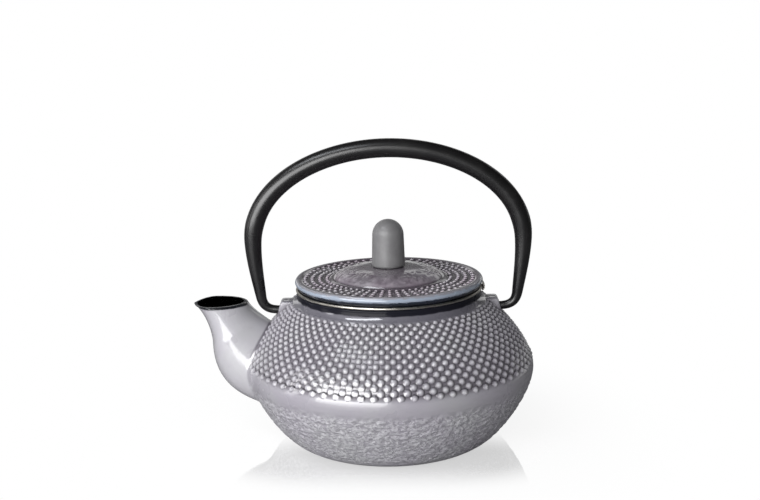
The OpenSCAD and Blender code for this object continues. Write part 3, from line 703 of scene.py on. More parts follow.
class SpoutForm:
    """The spout: a loft between its keel, which faces out, and its throat, which faces the bail."""

    sides = 112
    keel_split = 0.42           # share of the way in at which the keel's two curves meet
    widest_at_mouth = 0.36      # share of the way from the keel to the throat
    widest_at_root = 0.32
    lip_point = 0.5             # how pointed the pouring lip is outside, and the channel in it
    channel_point = 0.15
    channel_inset = 0.7 * MM    # past this inset a ring belongs to the channel
    point_wall = 0.6            # how much thicker the wall is at a fully pointed lip, as a share
    lip_height = 0.7 * MM
    lip_share = 0.9             # how much of that height lies above the last ring down the outside
    lip_steps = ((0.06, 0.38), (0.2, 0.13), (0.42, 0.02), (0.6, 0.0))
    channel_steps = ((1.86, 0.30), (1.6, 0.05), (1.45, 0.0), (1.2, -1.0))
    bend_drop = 17.3            # in millimetres, from the mouth to the bend of the keel
    fillet_rings = 6
    outer_steps = 46            # rings from the fillet to the lip, which lie closer towards the lip
    closer = 1.1
    channel_rings_up = 30
    channel_end = 0.03          # share of the way in at which the steps at the mouth take over
    nudge = 1e-3                # a small step in t or in an angle, to measure a slope by
    crease_steps = 401

    def __init__(self, body, spout):
        lip = (-spout.reach, spout.mouth_z)
        bend = beside(lip, 7.3, -self.bend_drop)
        throat = (lip[0] + spout.mouth_len, lip[1])
        wall_at_bend = (-body.belly_r, bend[1])
        wall_at_lip = (-body.belly_r, lip[1])
        self.spout = spout
        self.keel_upper = [lip, beside(lip, 5, -4.6), beside(bend, 0, 4.3), bend]
        self.keel_lower = [bend, beside(bend, 0, -14.6), beside(wall_at_bend, -6.8, -22.5),
                           beside(wall_at_bend, 8, -26.9)]
        self.throat = [throat, beside(throat, 2.5, -5.2), beside(wall_at_lip, 10, -8.4),
                       beside(wall_at_lip, 21, -17)]
        self.angles = TURN * np.arange(self.sides) / self.sides

    def at(self, t, a, inset=0.0):
        """Points at share t of the way in and angle a round the spout, thinned by inset."""
        t, a, inset = np.broadcast_arrays(t, a, inset)
        split = self.keel_split
        keel = np.where((t < split)[..., None], bezier(self.keel_upper, np.clip(t / split, 0, 1)),
                        bezier(self.keel_lower, np.clip((t - split) / (1 - split), 0, 1)))
        across = bezier(self.throat, t) - keel
        span = np.linalg.norm(across, axis=-1)
        point = np.where(inset > self.channel_inset, self.channel_point, self.lip_point) * (1 - t) ** 2
        wide = mix(self.widest_at_mouth, self.widest_at_root, t)
        gap = inset * (1 + self.point_wall * point)
        half_w = mix(self.spout.mouth_w, self.spout.root_w, t * t * (3 - 2 * t)) / 2 - inset
        fold = np.minimum(a, TURN - a) / (TURN / 4)
        fore = wide * mix(1 - np.cos(a), fold, point)
        aft = wide - (1 - wide) * np.cos(a)
        u = np.where(np.cos(a) > 1e-9, fore, aft)
        q = keel + across / span[..., None] * (gap + u * (span - gap - inset))[..., None]
        return np.stack([q[..., 0], half_w * np.sin(a), q[..., 1]], axis=-1)

    def crease(self, form):
        """Where each line down the spout meets the ground of the body, as shares of the way in."""
        t = np.linspace(0, 1, self.crease_steps)[:, None]
        p = self.at(t, self.angles)
        out = np.linalg.norm(p[..., :2], axis=-1) - form.ground(p[..., 2])
        first = np.argmax(out < 0, axis=0)
        column = np.arange(self.sides)
        a, b = out[first - 1, column], out[first, column]
        return t[first - 1, 0] + (t[first, 0] - t[first - 1, 0]) * a / (a - b)

    def fillet_way(self, form, met, corner):
        """The direction on the body in which the fillet runs away from the spout, round the crease."""
        step = self.nudge
        along_ring = self.at(met, self.angles + step) - self.at(met, self.angles - step)
        along_t = self.at(met + step, self.angles) - self.at(met - step, self.angles)
        face = np.cross(along_ring, along_t)
        face /= np.linalg.norm(face, axis=1)[:, None]
        opposite = self.at(met, self.angles + math.pi)
        face *= np.sign(np.sum(face * (corner - opposite), axis=1))[:, None]
        wall = form.normal(corner)
        away = face - np.sum(face * wall, axis=1)[:, None] * wall
        return away / np.linalg.norm(away, axis=1)[:, None]

    def outer_rings(self, form):
        """Rings from inside the body, over the fillet at the root, to the lip's top."""
        met = self.crease(form)
        corner = self.at(met, self.angles)
        under = 0.5 + 0.5 * np.cos(self.angles)
        size = mix(self.spout.fillet, self.spout.keel_fillet, under ** 1.5)
        around_corner = self.at(met + self.nudge, self.angles) - self.at(met - self.nudge, self.angles)
        run = np.linalg.norm(around_corner, axis=-1) / (2 * self.nudge)
        start_t = met - size / run
        start = self.at(start_t, self.angles)
        away = self.fillet_way(form, met, corner)

        def on_body(distance, sunk):
            """Points at a distance from the crease, sunk into the body's ground."""
            p = corner + away * distance[:, None]
            wanted = form.ground(p[:, 2]) - sunk
            return np.concatenate([p[:, :2] * (wanted / np.linalg.norm(p[:, :2], axis=1))[:, None],
                                   p[:, 2:]], axis=1)

        edge = on_body(size, 0.02 * MM)
        rings = [self.at(1.0, self.angles), on_body(size + 1.2 * MM, 0.9 * MM), edge]
        for s in np.linspace(0, 1, self.fillet_rings + 2)[1:-1]:
            rings.append((1 - s) ** 2 * edge + 2 * s * (1 - s) * corner + s * s * start)
        lip_t = self.lip_height / (self.bend_drop * MM) * self.keel_split * self.lip_share
        for s in np.linspace(1, 0, self.outer_steps):
            rings.append(self.at(mix(lip_t, start_t, s ** self.closer), self.angles))
        return rings + self.rim_rings(self.lip_steps), corner

    def rim_rings(self, steps):
        """Rings round the mouth. Each step gives its inset and its depth under the rim in millimetres."""
        rings = []
        for inset, down in steps:
            top = self.at(0.0, self.angles, inset * MM)
            top[:, 2] = self.spout.mouth_z - down * MM
            rings.append(top)
        return rings

    def channel_rings(self):
        """Rings of the cut through the spout, from inside the pot up past the mouth."""
        walls = (self.spout.wall, self.spout.root_wall)
        way_up = np.linspace(1, self.channel_end, self.channel_rings_up)
        rings = [self.at(t, self.angles, mix(*walls, t)) for t in way_up]
        return rings + self.rim_rings(self.channel_steps)


def outer_solid(form, crease, materials):
    """The body with no hollow: rough cast below the belly, and ground for the hobnails above it."""
    body = form.body
    sides = 640
    spout_share = 0.6       # share of the belly's radius past which the spout may be near
    middle = 0.45           # relief that leaves the wall where it is
    lip = arc((body.neck_r - form.rim_round, body.rim_z - form.rim_round), form.rim_round, 0, 90)
    outline = chain(spaced(form.foot, 1.2 * MM), spaced(form.lower, 0.52 * MM),
                    spaced(form.upper, 1.6 * MM), spaced(form.neck, 0.5 * MM), lip)
    rings = []
    for r, z in outline:
        points = ring(r - float(form.sink(z)), z, sides)
        below_top = 1 - smooth(body.hammer_top - 2 * MM, body.hammer_top, z)
        fade = float(smooth(1.2 * MM, 4 * MM, z) * below_top)
        if fade > 0:
            push = body.hammer_depth * fade * (hammered(points, body.hammer_size) - middle)
            near = points[:, 0] < -spout_share * body.belly_r
            gap = np.full(sides, 1.0)
            gap[near] = np.linalg.norm(points[near][:, None] - crease[None], axis=2).min(axis=1)
            push *= smooth(3 * MM, 9 * MM, gap)
            points[:, :2] *= (1 + push / r)[:, None]
        rings.append(points)
    return stacked("pot_body", rings, materials=materials)


def hollow(form, materials):
    """The hollow of the body, closed at its top above the rim."""
    body = form.body
    inset = []
    for curve in (form.lower, form.upper):
        slope = np.gradient(curve, axis=0)
        slope /= np.linalg.norm(slope, axis=1)[:, None]
        inset.append(curve + body.wall * np.stack([-slope[:, 1], slope[:, 0]], axis=1))
    lower, upper = inset
    joined = 16             # point of the lower wall at which the floor's round corner ends
    cut_short = 8           # points of the upper wall that give way to the mouth
    corner = (lower[0][0] - 1 * MM, body.floor)
    floor = [beside(corner, -4, 0), beside(corner, -1, 0), beside(corner, 0.6, 0.8), tuple(lower[joined])]
    mouth_foot = (body.mouth_r, body.shoulder_z + 0.6 * MM)
    flare = form.rim_round
    outline = chain(
        bezier(floor, np.linspace(0, 1, 40))[::4],
        spaced(lower[joined + 1:], 1.6 * MM), spaced(upper[:-cut_short], 1.6 * MM),
        [beside((body.mouth_r, body.shoulder_z), 0.4, -0.5), mouth_foot],
        spaced([mouth_foot, (body.mouth_r, body.rim_z - flare)], 1 * MM),
        arc((body.mouth_r + flare, body.rim_z - flare), flare, 180, 96),
        [(body.mouth_r + flare, body.rim_z + 1 * MM)])
    sides = 200
    return turned("hollow", outline, sides, materials=materials)


def ear_solid(side, ears, materials, neck_r):
    """One ear, a rounded lug that grows out of the shoulder."""
    root_x = neck_r - 1.7 * MM
    low_z = ears.top_z - EAR_DEPTH
    top_x = ears.foot_x - ears.slope
    outline = chain([(root_x, low_z), (ears.foot_x, low_z)],
                    arc((top_x - ears.corner, ears.top_z - ears.corner), ears.corner, 12, 90, 5),
                    [(root_x, ears.top_z)])
    half = ears.width / 2
    n = len(outline)
    points = [(side * x, side * y, z) for y in (-half, half) for x, z in outline]
    faces = [list(range(n)), list(range(2 * n - 1, n - 1, -1))]
    faces += [[i, i + n, (i + 1) % n + n, (i + 1) % n] for i in range(n)]
    made = mesh_object("ear", points, faces, materials)
    rounding = made.modifiers.new("Edges", "BEVEL")
    rounding.width = ears.edge
    rounding.segments = 4
    rounding.limit_method = "ANGLE"
    rounding.angle_limit = math.radians(60)
    return settle(made)


def box_solid(name, low, high):
    """A plain box between two corners."""
    made = bmesh.new()
    bmesh.ops.create_cube(made, size=1)
    centre, size = (Vector(low) + Vector(high)) / 2, Vector(high) - Vector(low)
    bmesh.ops.scale(made, vec=size, verts=made.verts)
    bmesh.ops.translate(made, vec=centre, verts=made.verts)
    mesh = bpy.data.meshes.new(name)
    made.to_mesh(mesh)
    made.free()
    box = bpy.data.objects.new(name, mesh)
    bpy.context.scene.collection.objects.link(box)
    return box


def pin_hole(side, ears, z, materials):
    """The blind hole of one ear, with a small countersink at its mouth."""
    past = 1 * MM
    sink = 0.35 * MM
    sides = 40
    stations = [(ears.hole_x, ears.hole_r), (ears.foot_x - 1.2 * MM, ears.hole_r),
                (ears.foot_x + past, ears.hole_r + sink)]
    a = TURN * np.arange(sides) / sides
    rings = [np.stack([np.full(sides, side * x), side * r * np.cos(a), z + r * np.sin(a)], axis=1)
             for x, r in stations]
    return stacked("pin_hole", rings, materials=materials)


def body_relief(form, points):
    """How high each point of the casting stands in its relief, and where the casting is rough. The relief
    sets the enamel's tone, with painted light on the ears and partly painted shade between the hobnails.
    """
    body = form.body
    # The ears' high tone is painted light, paler as if lit. The ground between the hobnails gets tone 0,
    # which is partly painted shade.
    ground_tone, spout_tone, ear_painted_light = 0.58, 0.97, 0.85
    z = points[:, 2]
    over = np.linalg.norm(points[:, :2], axis=1) - form.radius(z)
    spout = smooth(0.3 * MM, 1.6 * MM, over) * smooth(-40 * MM, -48 * MM, points[:, 0])
    plain = ground_tone * (1 - form.sink(z) / form.hobnails.height)
    above_foot = smooth(1.5 * MM, 5 * MM, z)
    below_belly = 1 - smooth(body.hammer_top - 4.5 * MM, body.hammer_top + 0.5 * MM, z)
    rough = above_foot * below_belly * (over > -1 * MM) * (1 - spout)
    ear = smooth(0.3 * MM, 1.2 * MM, over) * (z > body.shoulder_z - 9 * MM) * (1 - spout)
    return mix(mix(plain, spout_tone, spout), ear_painted_light, ear), rough


def make_pot(context):
    """The pot's casting in one closed piece."""
    scene = context.scene
    body, spout, ears = scene.teapot_body, scene.teapot_spout, scene.teapot_ears
    outside = material("pot_enamel", enamel, scene.teapot_colours, body, spout)
    inside = material("black_enamel", black_enamel, scene.teapot_colours)
    form = BodyForm(body, scene.teapot_hobnails)
    spout_form = SpoutForm(body, spout)
    rings, crease = spout_form.outer_rings(form)
    casting = outer_solid(form, crease, [outside, inside])
    spout_solid = stacked("spout", rings, materials=[outside, inside])
    black_rings = 2
    black_from = len(spout_solid.data.polygons) - 2 - black_rings * spout_form.sides
    for face in spout_solid.data.polygons:
        if face.index >= black_from and face.center.z > spout.mouth_z - 0.2 * MM:
            face.material_index = 1
    void = hollow(form, [inside])
    tools = [spout_solid, void]
    for side in (-1, 1):
        lug = ear_solid(side, ears, [outside], body.neck_r)
        carve(casting, lug, "UNION")
        ends = sorted((side * (ears.hole_x - 1.6 * MM), side * ears.foot_x))
        low = (ends[0], -ears.width / 2, PIVOT_Z - 5 * MM)
        high = (ends[1], ears.width / 2, PIVOT_Z + 4 * MM)
        pad = box_solid("pad", low, high)
        carve(void, pad, "DIFFERENCE")
        tools += [lug, pad]
    settle(void)
    carve(casting, spout_solid, "UNION")
    carve(casting, void, "DIFFERENCE")
    channel = stacked("channel", spout_form.channel_rings(), materials=[inside])
    holes = [pin_hole(side, ears, PIVOT_Z, [inside]) for side in (-1, 1)]
    for cut in (channel, *holes):
        carve(casting, cut, "DIFFERENCE")
    settle(casting, *tools, channel, *holes)
    sharpen(casting)
    relief, rough = body_relief(form, coordinates(casting.data))
    set_share(casting.data, "relief", relief)
    set_share(casting.data, "rough", rough)
    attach(casting, "pot")
    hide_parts("pot")


# Hobnails ---------------------------------------------------------------------------------------

class Nodes:
    """A Geometry Nodes tree while it is built, with its named inputs."""

    def __init__(self, name, **inputs):
        self.tree = bpy.data.node_groups.new(name, "GeometryNodeTree")
        face = self.tree.interface
        face.new_socket("Geometry", in_out="INPUT", socket_type="NodeSocketGeometry")
        face.new_socket("Geometry", in_out="OUTPUT", socket_type="NodeSocketGeometry")
        self.identifiers = {}
        for label, (kind, default) in inputs.items():
            socket = face.new_socket(label.replace("_", " ").capitalize(), in_out="INPUT",
                                     socket_type="NodeSocket" + kind)
            if default is not None:
                socket.default_value = default
            self.identifiers[label] = socket.identifier
        self.start = self.tree.nodes.new("NodeGroupInput")
        self.end = self.tree.nodes.new("NodeGroupOutput")

    def value(self, label):
        """The output that carries one of the tree's inputs."""
        return next(s for s in self.start.outputs if s.identifier == self.identifiers[label])

    def add(self, kind, inputs=(), output=0, **settings):
        """Adds a node, and gives one of its outputs."""
        return add_node(self.tree, kind, inputs, output, **settings)

    def math(self, operation, *values):
        """One step of arithmetic."""
        return self.add("ShaderNodeMath", enumerate(values), operation=operation)

    def copies(self, form, **inputs):
        """A copy of a form on each of the host's points."""
        return self.add("GeometryNodeInstanceOnPoints",
                        {"Points": self.start.outputs[0], "Instance": form, **inputs})

    def standing(self, form):
        """A copy on each point, along the axis and of the size that the point carries."""
        axis, size = (self.add("GeometryNodeInputNamedAttribute", {"Name": name}, data_type="FLOAT_VECTOR")
                      for name in ("axis", "size"))
        turn = self.add("FunctionNodeAlignRotationToVector", {"Vector": axis}, axis="Z")
        return self.copies(form, Rotation=turn, Scale=size)

    def finish(self, geometry):
        """Ends the tree in real geometry with its material."""
        real = self.add("GeometryNodeRealizeInstances", {"Geometry": geometry})
        coated = self.add("GeometryNodeSetMaterial", {"Geometry": real, "Material": self.value("material")})
        self.tree.links.new(coated, self.end.inputs[0])

    def grow(self, host, **values):
        """Runs the tree on a host object and turns what it makes into plain mesh."""
        step = host.modifiers.new(self.tree.name, "NODES")
        step.node_group = self.tree
        for label, value in values.items():
            step[self.identifiers[label]] = value
        return settle(host)


def hobnail_tree():
    """A rounded cone on each point, along its axis. Its relief is 0 at the ground and 1 at the tip."""
    nodes = Nodes("Hobnails", material=("Material", None), corners=("Int", 10), levels=("Int", 3),
                  tip=("Float", 0.18), sunk=("Float", 0.16))
    bulge = 0.35
    cone = nodes.add("GeometryNodeMeshCone", {
        "Vertices": nodes.value("corners"), "Side Segments": nodes.value("levels"),
        "Radius Top": nodes.value("tip"), "Radius Bottom": 1.0, "Depth": 1.0}, fill_type="NGON")
    split = nodes.add("ShaderNodeSeparateXYZ", {0: nodes.add("GeometryNodeInputPosition")}).node.outputs
    steepness = nodes.math("SUBTRACT", 1 + bulge, nodes.math("MULTIPLY", split["Z"], bulge))
    swell = nodes.math("MULTIPLY", split["Z"], steepness)
    whole = nodes.math("ADD", nodes.value("sunk"), 1.0)
    height = nodes.math("SUBTRACT", nodes.math("MULTIPLY", swell, whole), nodes.value("sunk"))
    place = nodes.add("ShaderNodeCombineXYZ", {"X": split["X"], "Y": split["Y"], "Z": height})
    domed = nodes.add("GeometryNodeSetPosition", {"Geometry": cone, "Position": place})
    toned = nodes.add("GeometryNodeStoreNamedAttribute", {
        "Geometry": domed, "Name": "relief", "Value": height}, data_type="FLOAT", domain="POINT")
    soft = nodes.add("GeometryNodeSetShadeSmooth", {"Geometry": toned, "Shade Smooth": True})
    nodes.finish(nodes.standing(soft))
    return nodes


def point_host(name, points, **vectors):
    """A mesh of bare points, with the named vectors that each of them carries."""
    host = mesh_object(name, points, [])
    for label, values in vectors.items():
        attribute = host.data.attributes.new(label, "FLOAT_VECTOR", "POINT")
        attribute.data.foreach_set("vector", np.asarray(values, np.float32).ravel())
    return host


def body_hobnails(form, spout_form, ears):
    """Places, directions and sizes of the hobnails that the spout and the ears leave free."""
    nails, outline = form.hobnails, form.upper
    wide = 0.55             # radius of a hobnail's foot, as a share of the distance to its neighbour
    tighter = 0.06          # how much closer the rows stand towards the neck
    run = np.concatenate([[0], np.cumsum(np.linalg.norm(np.diff(outline, axis=0), axis=1))])
    first, last = np.interp([nails.first_z, nails.last_z], outline[:, 1], run)
    share_up = np.linspace(0, 1, nails.rows)
    run_up = mix(first, last, share_up + tighter * share_up * (1 - share_up))
    step = (last - first) / (nails.rows - 1)
    places, sizes = [], []
    for row, s in enumerate(run_up):
        z = float(np.interp(s, run, outline[:, 1]))
        r = float(form.ground(z))
        radius = wide * math.hypot(math.pi * r / nails.per_row, step)
        turn = nails.phase + (row % 2) * math.pi / nails.per_row
        places.append(ring(r, z, nails.per_row, turn))
        sizes += [(radius, radius, nails.height)] * nails.per_row
    places, sizes = np.concatenate(places), np.array(sizes)
    in_ear = ((np.abs(places[:, 1]) < ears.width / 2 + 0.2 * MM)
              & (np.abs(places[:, 0]) < ears.foot_x) & (places[:, 2] > ears.top_z - EAR_DEPTH))
    _, crease = spout_form.outer_rings(form)
    free = ~(in_ear | under_spout(places, crease))
    return places[free], form.normal(places[free]), sizes[free]


def under_spout(places, crease):
    """Which places on the body lie well inside the closed line where the spout meets it."""
    mean_r = 55 * MM
    margin = 0.5 * MM

    def unrolled(p):
        """Places on the wall round the spout, laid flat."""
        return np.stack([np.arctan2(p[:, 1], -p[:, 0]) * mean_r, p[:, 2]], axis=1)

    loop, spots = unrolled(crease), unrolled(places)
    inside = np.zeros(len(spots), bool)
    for (x0, y0), (x1, y1) in zip(loop, np.roll(loop, -1, axis=0)):
        crosses = (y0 > spots[:, 1]) != (y1 > spots[:, 1])
        if y1 != y0:
            at = x0 + (spots[:, 1] - y0) / (y1 - y0) * (x1 - x0)
            inside ^= crosses & (spots[:, 0] < at)
    near = np.linalg.norm(places[:, None] - crease[None], axis=2).min(axis=1) < margin
    return inside & (places[:, 0] < 0) & ~near


def make_hobnails(context):
    """The hobnails of the body."""
    scene = context.scene
    body, spout = scene.teapot_body, scene.teapot_spout
    form = BodyForm(body, scene.teapot_hobnails)
    places, axes, sizes = body_hobnails(form, SpoutForm(body, spout), scene.teapot_ears)
    host = point_host("pot_hobnails", places, axis=axes, size=sizes)
    glaze = material("pot_enamel", enamel, scene.teapot_colours, body, spout)
    made = hobnail_tree().grow(host, material=glaze)
    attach(made, "pot")


# The bail ---------------------------------------------------------------------------------------

def make_bail(context):
    """The bail: a tapering tube along three curves from each pin to the crown."""
    scene = context.scene
    bail = scene.teapot_bail
    sides = 40
    step_up = 0.05 * MM             # how much thicker the tube starts than its pin
    arch_up, arch_in = 0.6, 0.52    # how far the arch's curve leans, as shares of its rise and its width
    early = 0.85                    # below 1, most of the taper lies low down
    start = (bail.start_x, PIVOT_Z)
    leg_foot = beside((bail.half_w, PIVOT_Z), -2.4, 5.6)
    leg_top = beside((bail.half_w, PIVOT_Z), 0, 28.6)
    crown = (0.0, bail.crown_z)
    rise = crown[1] - leg_top[1]
    curves = (
        ([start, beside(start, 4, 0.2), beside(leg_foot, -0.5, -3.4), leg_foot], 14),
        ([leg_foot, beside(leg_foot, 1.1, 7.7), beside(leg_top, 0, -7.7), leg_top], 16),
        ([leg_top, (bail.half_w, leg_top[1] + arch_up * rise), (arch_in * bail.half_w, crown[1]), crown], 40))
    line = [(bail.pin_x, PIVOT_Z), (bail.pin_x + 0.3 * MM, PIVOT_Z), (bail.start_x - 0.4 * MM, PIVOT_Z)]
    for points, steps in curves:
        line += [tuple(p) for p in bezier(points, np.linspace(0, 1, steps + 1)[:-1])]
    half = np.array(line)
    path = np.concatenate([half, [crown], (half * (-1, 1))[::-1]])
    way = np.gradient(path, axis=0)
    way /= np.linalg.norm(way, axis=1)[:, None]
    up = np.clip((path[:, 1] - PIVOT_Z) / bail.taper_h, 0, 1) ** early
    radius = mix(bail.pin_r + step_up, bail.grip_r, up)
    on_pin = (np.abs(path[:, 0]) < bail.start_x - 0.1 * MM) & (path[:, 1] < PIVOT_Z + 1 * MM)
    radius = np.where(on_pin, bail.pin_r, radius)
    a = TURN * np.arange(sides) / sides
    rings = [np.stack([x + dz * r * np.cos(a), -r * np.sin(a), z - dx * r * np.cos(a)], axis=1)
             for (x, z), (dx, dz), r in zip(path, way, radius)]
    coating = material("bail_coating", bail_coating, scene.teapot_colours)
    made = stacked("bail_tube", rings, materials=[coating])
    upright(made)
    sharpen(made, 50)
    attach(made, "bail")
    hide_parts("bail")


def upright(made):
    """Turns a closed form's faces outwards."""
    form = bmesh.new()
    form.from_mesh(made.data)
    bmesh.ops.recalc_face_normals(form, faces=form.faces)
    form.to_mesh(made.data)
    form.free()


# The infuser ------------------------------------------------------------------------------------

def make_infuser(context):
    """The steel infuser: its rim with the rolled bead, the tab, the base band and the woven mesh."""
    scene = context.scene
    sizes, colours = scene.teapot_infuser, scene.teapot_colours
    rim_z = scene.teapot_body.rim_z
    polished = material("steel", steel, colours)
    satin = material("steel_satin", steel, colours, name="steel_satin", roughness=0.45)
    woven = material("steel_wire", steel, colours, name="steel_wire", roughness=0.32)
    rim = make_rim(sizes, rim_z, polished)
    band = make_band(sizes, polished)
    tab = make_tab(sizes, rim_z + sizes.bead_r, satin)
    side, base = make_mesh(sizes, woven)
    pieces = ((rim, "infuser_rim", "steel_sheet"), (band, "infuser_base_band", "steel_sheet"),
              (tab, "infuser_tab", "steel_sheet"), (side, "infuser_side_mesh", "steel_mesh"),
              (base, "infuser_base_mesh", "steel_mesh"))
    for made, node, slot_name in pieces:
        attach(made, "infuser")
        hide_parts(node)


def make_rim(sizes, rim_z, finish):
    """The rim: a collar, a flange that lies on the pot's rim, and the bead rolled from its edge."""
    collar_low = RIM_BOX[0].z
    inner_r = sizes.collar_r - sizes.sheet
    flange_top = rim_z + sizes.flange
    bend, edge = 0.3 * MM, 0.5 * MM
    outline = chain(
        [(sizes.collar_r, collar_low), (sizes.collar_r, rim_z - bend)],
        arc((sizes.collar_r + bend, rim_z - bend), bend, 180, 90, 3),
        arc((sizes.bead_ring_r, rim_z + sizes.bead_r), sizes.bead_r, -100, 150, 18),
        [(inner_r + edge, flange_top)],
        arc((inner_r + edge, flange_top - edge), edge, 90, 180, 4),
        [(inner_r, collar_low)])
    sides = 288
    rim = turned("infuser_rim_rolled", outline, sides, materials=[finish], closed=True)
    sharpen(rim, 50)
    return rim


def make_band(sizes, finish):
    """The base band, which holds the base mesh to the side mesh."""
    low, high = BAND_BOX[0].z, BAND_BOX[1].z
    mesh_r = MESH_BOX[1].x
    bend = 0.4 * MM
    outline = chain(
        [(mesh_r - sizes.base_lip, low), (sizes.collar_r - bend, low)],
        arc((sizes.collar_r - bend, low + bend), bend, -90, 0, 4),
        [(sizes.collar_r, high), (mesh_r, high), (mesh_r, low + sizes.sheet),
         (mesh_r - sizes.base_lip, low + sizes.sheet)])
    sides = 240
    band = turned("infuser_band_pressed", outline, sides, materials=[finish], closed=True)
    sharpen(band, 40)
    return band


def make_tab(sizes, bead_z, finish):
    """The bowed lifting tab beside the bead."""
    low, high = TAB_BOX
    thick = sizes.sheet * 0.8
    bow_x = high.x - sizes.sheet * 0.5 + 0.35 * MM
    foot_r = sizes.bead_ring_r + sizes.bead_r * 0.7
    foot_x = foot_r + 0.5 * MM
    top, bottom = high.z - 0.1 * MM, low.z + 0.1 * MM
    outer = bezier([(foot_x, bottom), (bow_x, mix(bottom, top, 0.2)), (bow_x, mix(bottom, top, 0.8)),
                    (foot_x, top)], np.linspace(0, 1, 13))
    outline = np.concatenate([outer, outer[::-1] - (thick, 0)])
    half_turn = sizes.tab_w / 2 / foot_r
    end_taper = 0.12
    rings = []
    for turn in np.linspace(-half_turn, half_turn, 15):
        keep = 1 - end_taper * (abs(turn) / half_turn) ** 4
        r = outline[:, 0]
        z = bead_z + (outline[:, 1] - bead_z) * keep
        rings.append(np.stack([r * math.cos(turn), r * math.sin(turn), z], axis=1))
    tab = stacked("infuser_tab_bent", rings, materials=[finish])
    upright(tab)
    sharpen(tab, 45)
    return tab


def wire_tree():
    """A straight wire on each point, along its axis. Its size holds its thickness and its length."""
    nodes = Nodes("Wires", material=("Material", None), corners=("Int", 6))
    wire = nodes.add("GeometryNodeMeshCylinder", {
        "Vertices": nodes.value("corners"), "Side Segments": 1, "Radius": 1.0, "Depth": 1.0},
        fill_type="NGON")
    nodes.finish(nodes.standing(wire))
    return nodes


def hoop_tree():
    """A level hoop of wire on each point."""
    nodes = Nodes("Hoops", material=("Material", None), hoop=("Float", 34 * MM), wire=("Float", 0.15 * MM),
                  around=("Int", 144), corners=("Int", 5))
    path = nodes.add("GeometryNodeCurvePrimitiveCircle", {"Resolution": nodes.value("around"),
                                                          "Radius": nodes.value("hoop")})
    section = nodes.add("GeometryNodeCurvePrimitiveCircle", {"Resolution": nodes.value("corners"),
                                                             "Radius": nodes.value("wire")})
    hoop = nodes.add("GeometryNodeCurveToMesh", {"Curve": path, "Profile Curve": section})
    nodes.finish(nodes.copies(hoop))
    return nodes


def make_mesh(sizes, finish):
    """The woven side and base of the infuser."""
    low, high = MESH_BOX
    wire_r = sizes.wire / 2
    crossing = sizes.wire * 0.85    # how far apart two wires lie where they cross
    outer = high.x - wire_r
    n = int(TURN * outer / sizes.pitch)
    side = point_host("infuser_side_wires", side_ring(outer, (low.z + high.z) / 2, n),
                      axis=[(0, 0, 1)] * n, size=[(wire_r, wire_r, high.z - low.z)] * n)
    wire_tree().grow(side, material=finish)
    levels = np.arange(low.z + sizes.pitch / 2, high.z, sizes.pitch)
    hoops = point_host("hoops", [(0, 0, z) for z in levels])
    hoop_tree().grow(hoops, material=finish, hoop=outer - crossing, wire=wire_r)
    join(side, hoops)
    base_r = -low.x - sizes.sheet
    lines = np.arange(-base_r + sizes.pitch / 2, base_r, sizes.pitch)
    chords = 2 * np.sqrt(np.maximum(base_r ** 2 - lines ** 2, 0))
    z = low.z + wire_r
    places = [(x, 0, z) for x in lines] + [(0, y, z + crossing) for y in lines]
    axes = [(0, 1, 0)] * len(lines) + [(1, 0, 0)] * len(lines)
    base = point_host("infuser_base_wires", places, axis=axes, size=[(wire_r, wire_r, c) for c in chords] * 2)
    wire_tree().grow(base, material=finish)
    for made in (side, base):
        sharpen(made, 70)
    return side, base


def join(made, other):
    """Puts another object's mesh into made, and removes the other."""
    form = bmesh.new()
    form.from_mesh(made.data)
    form.from_mesh(other.data)
    form.to_mesh(made.data)
    form.free()
    bpy.data.objects.remove(other)


# The lid ----------------------------------------------------------------------------------------

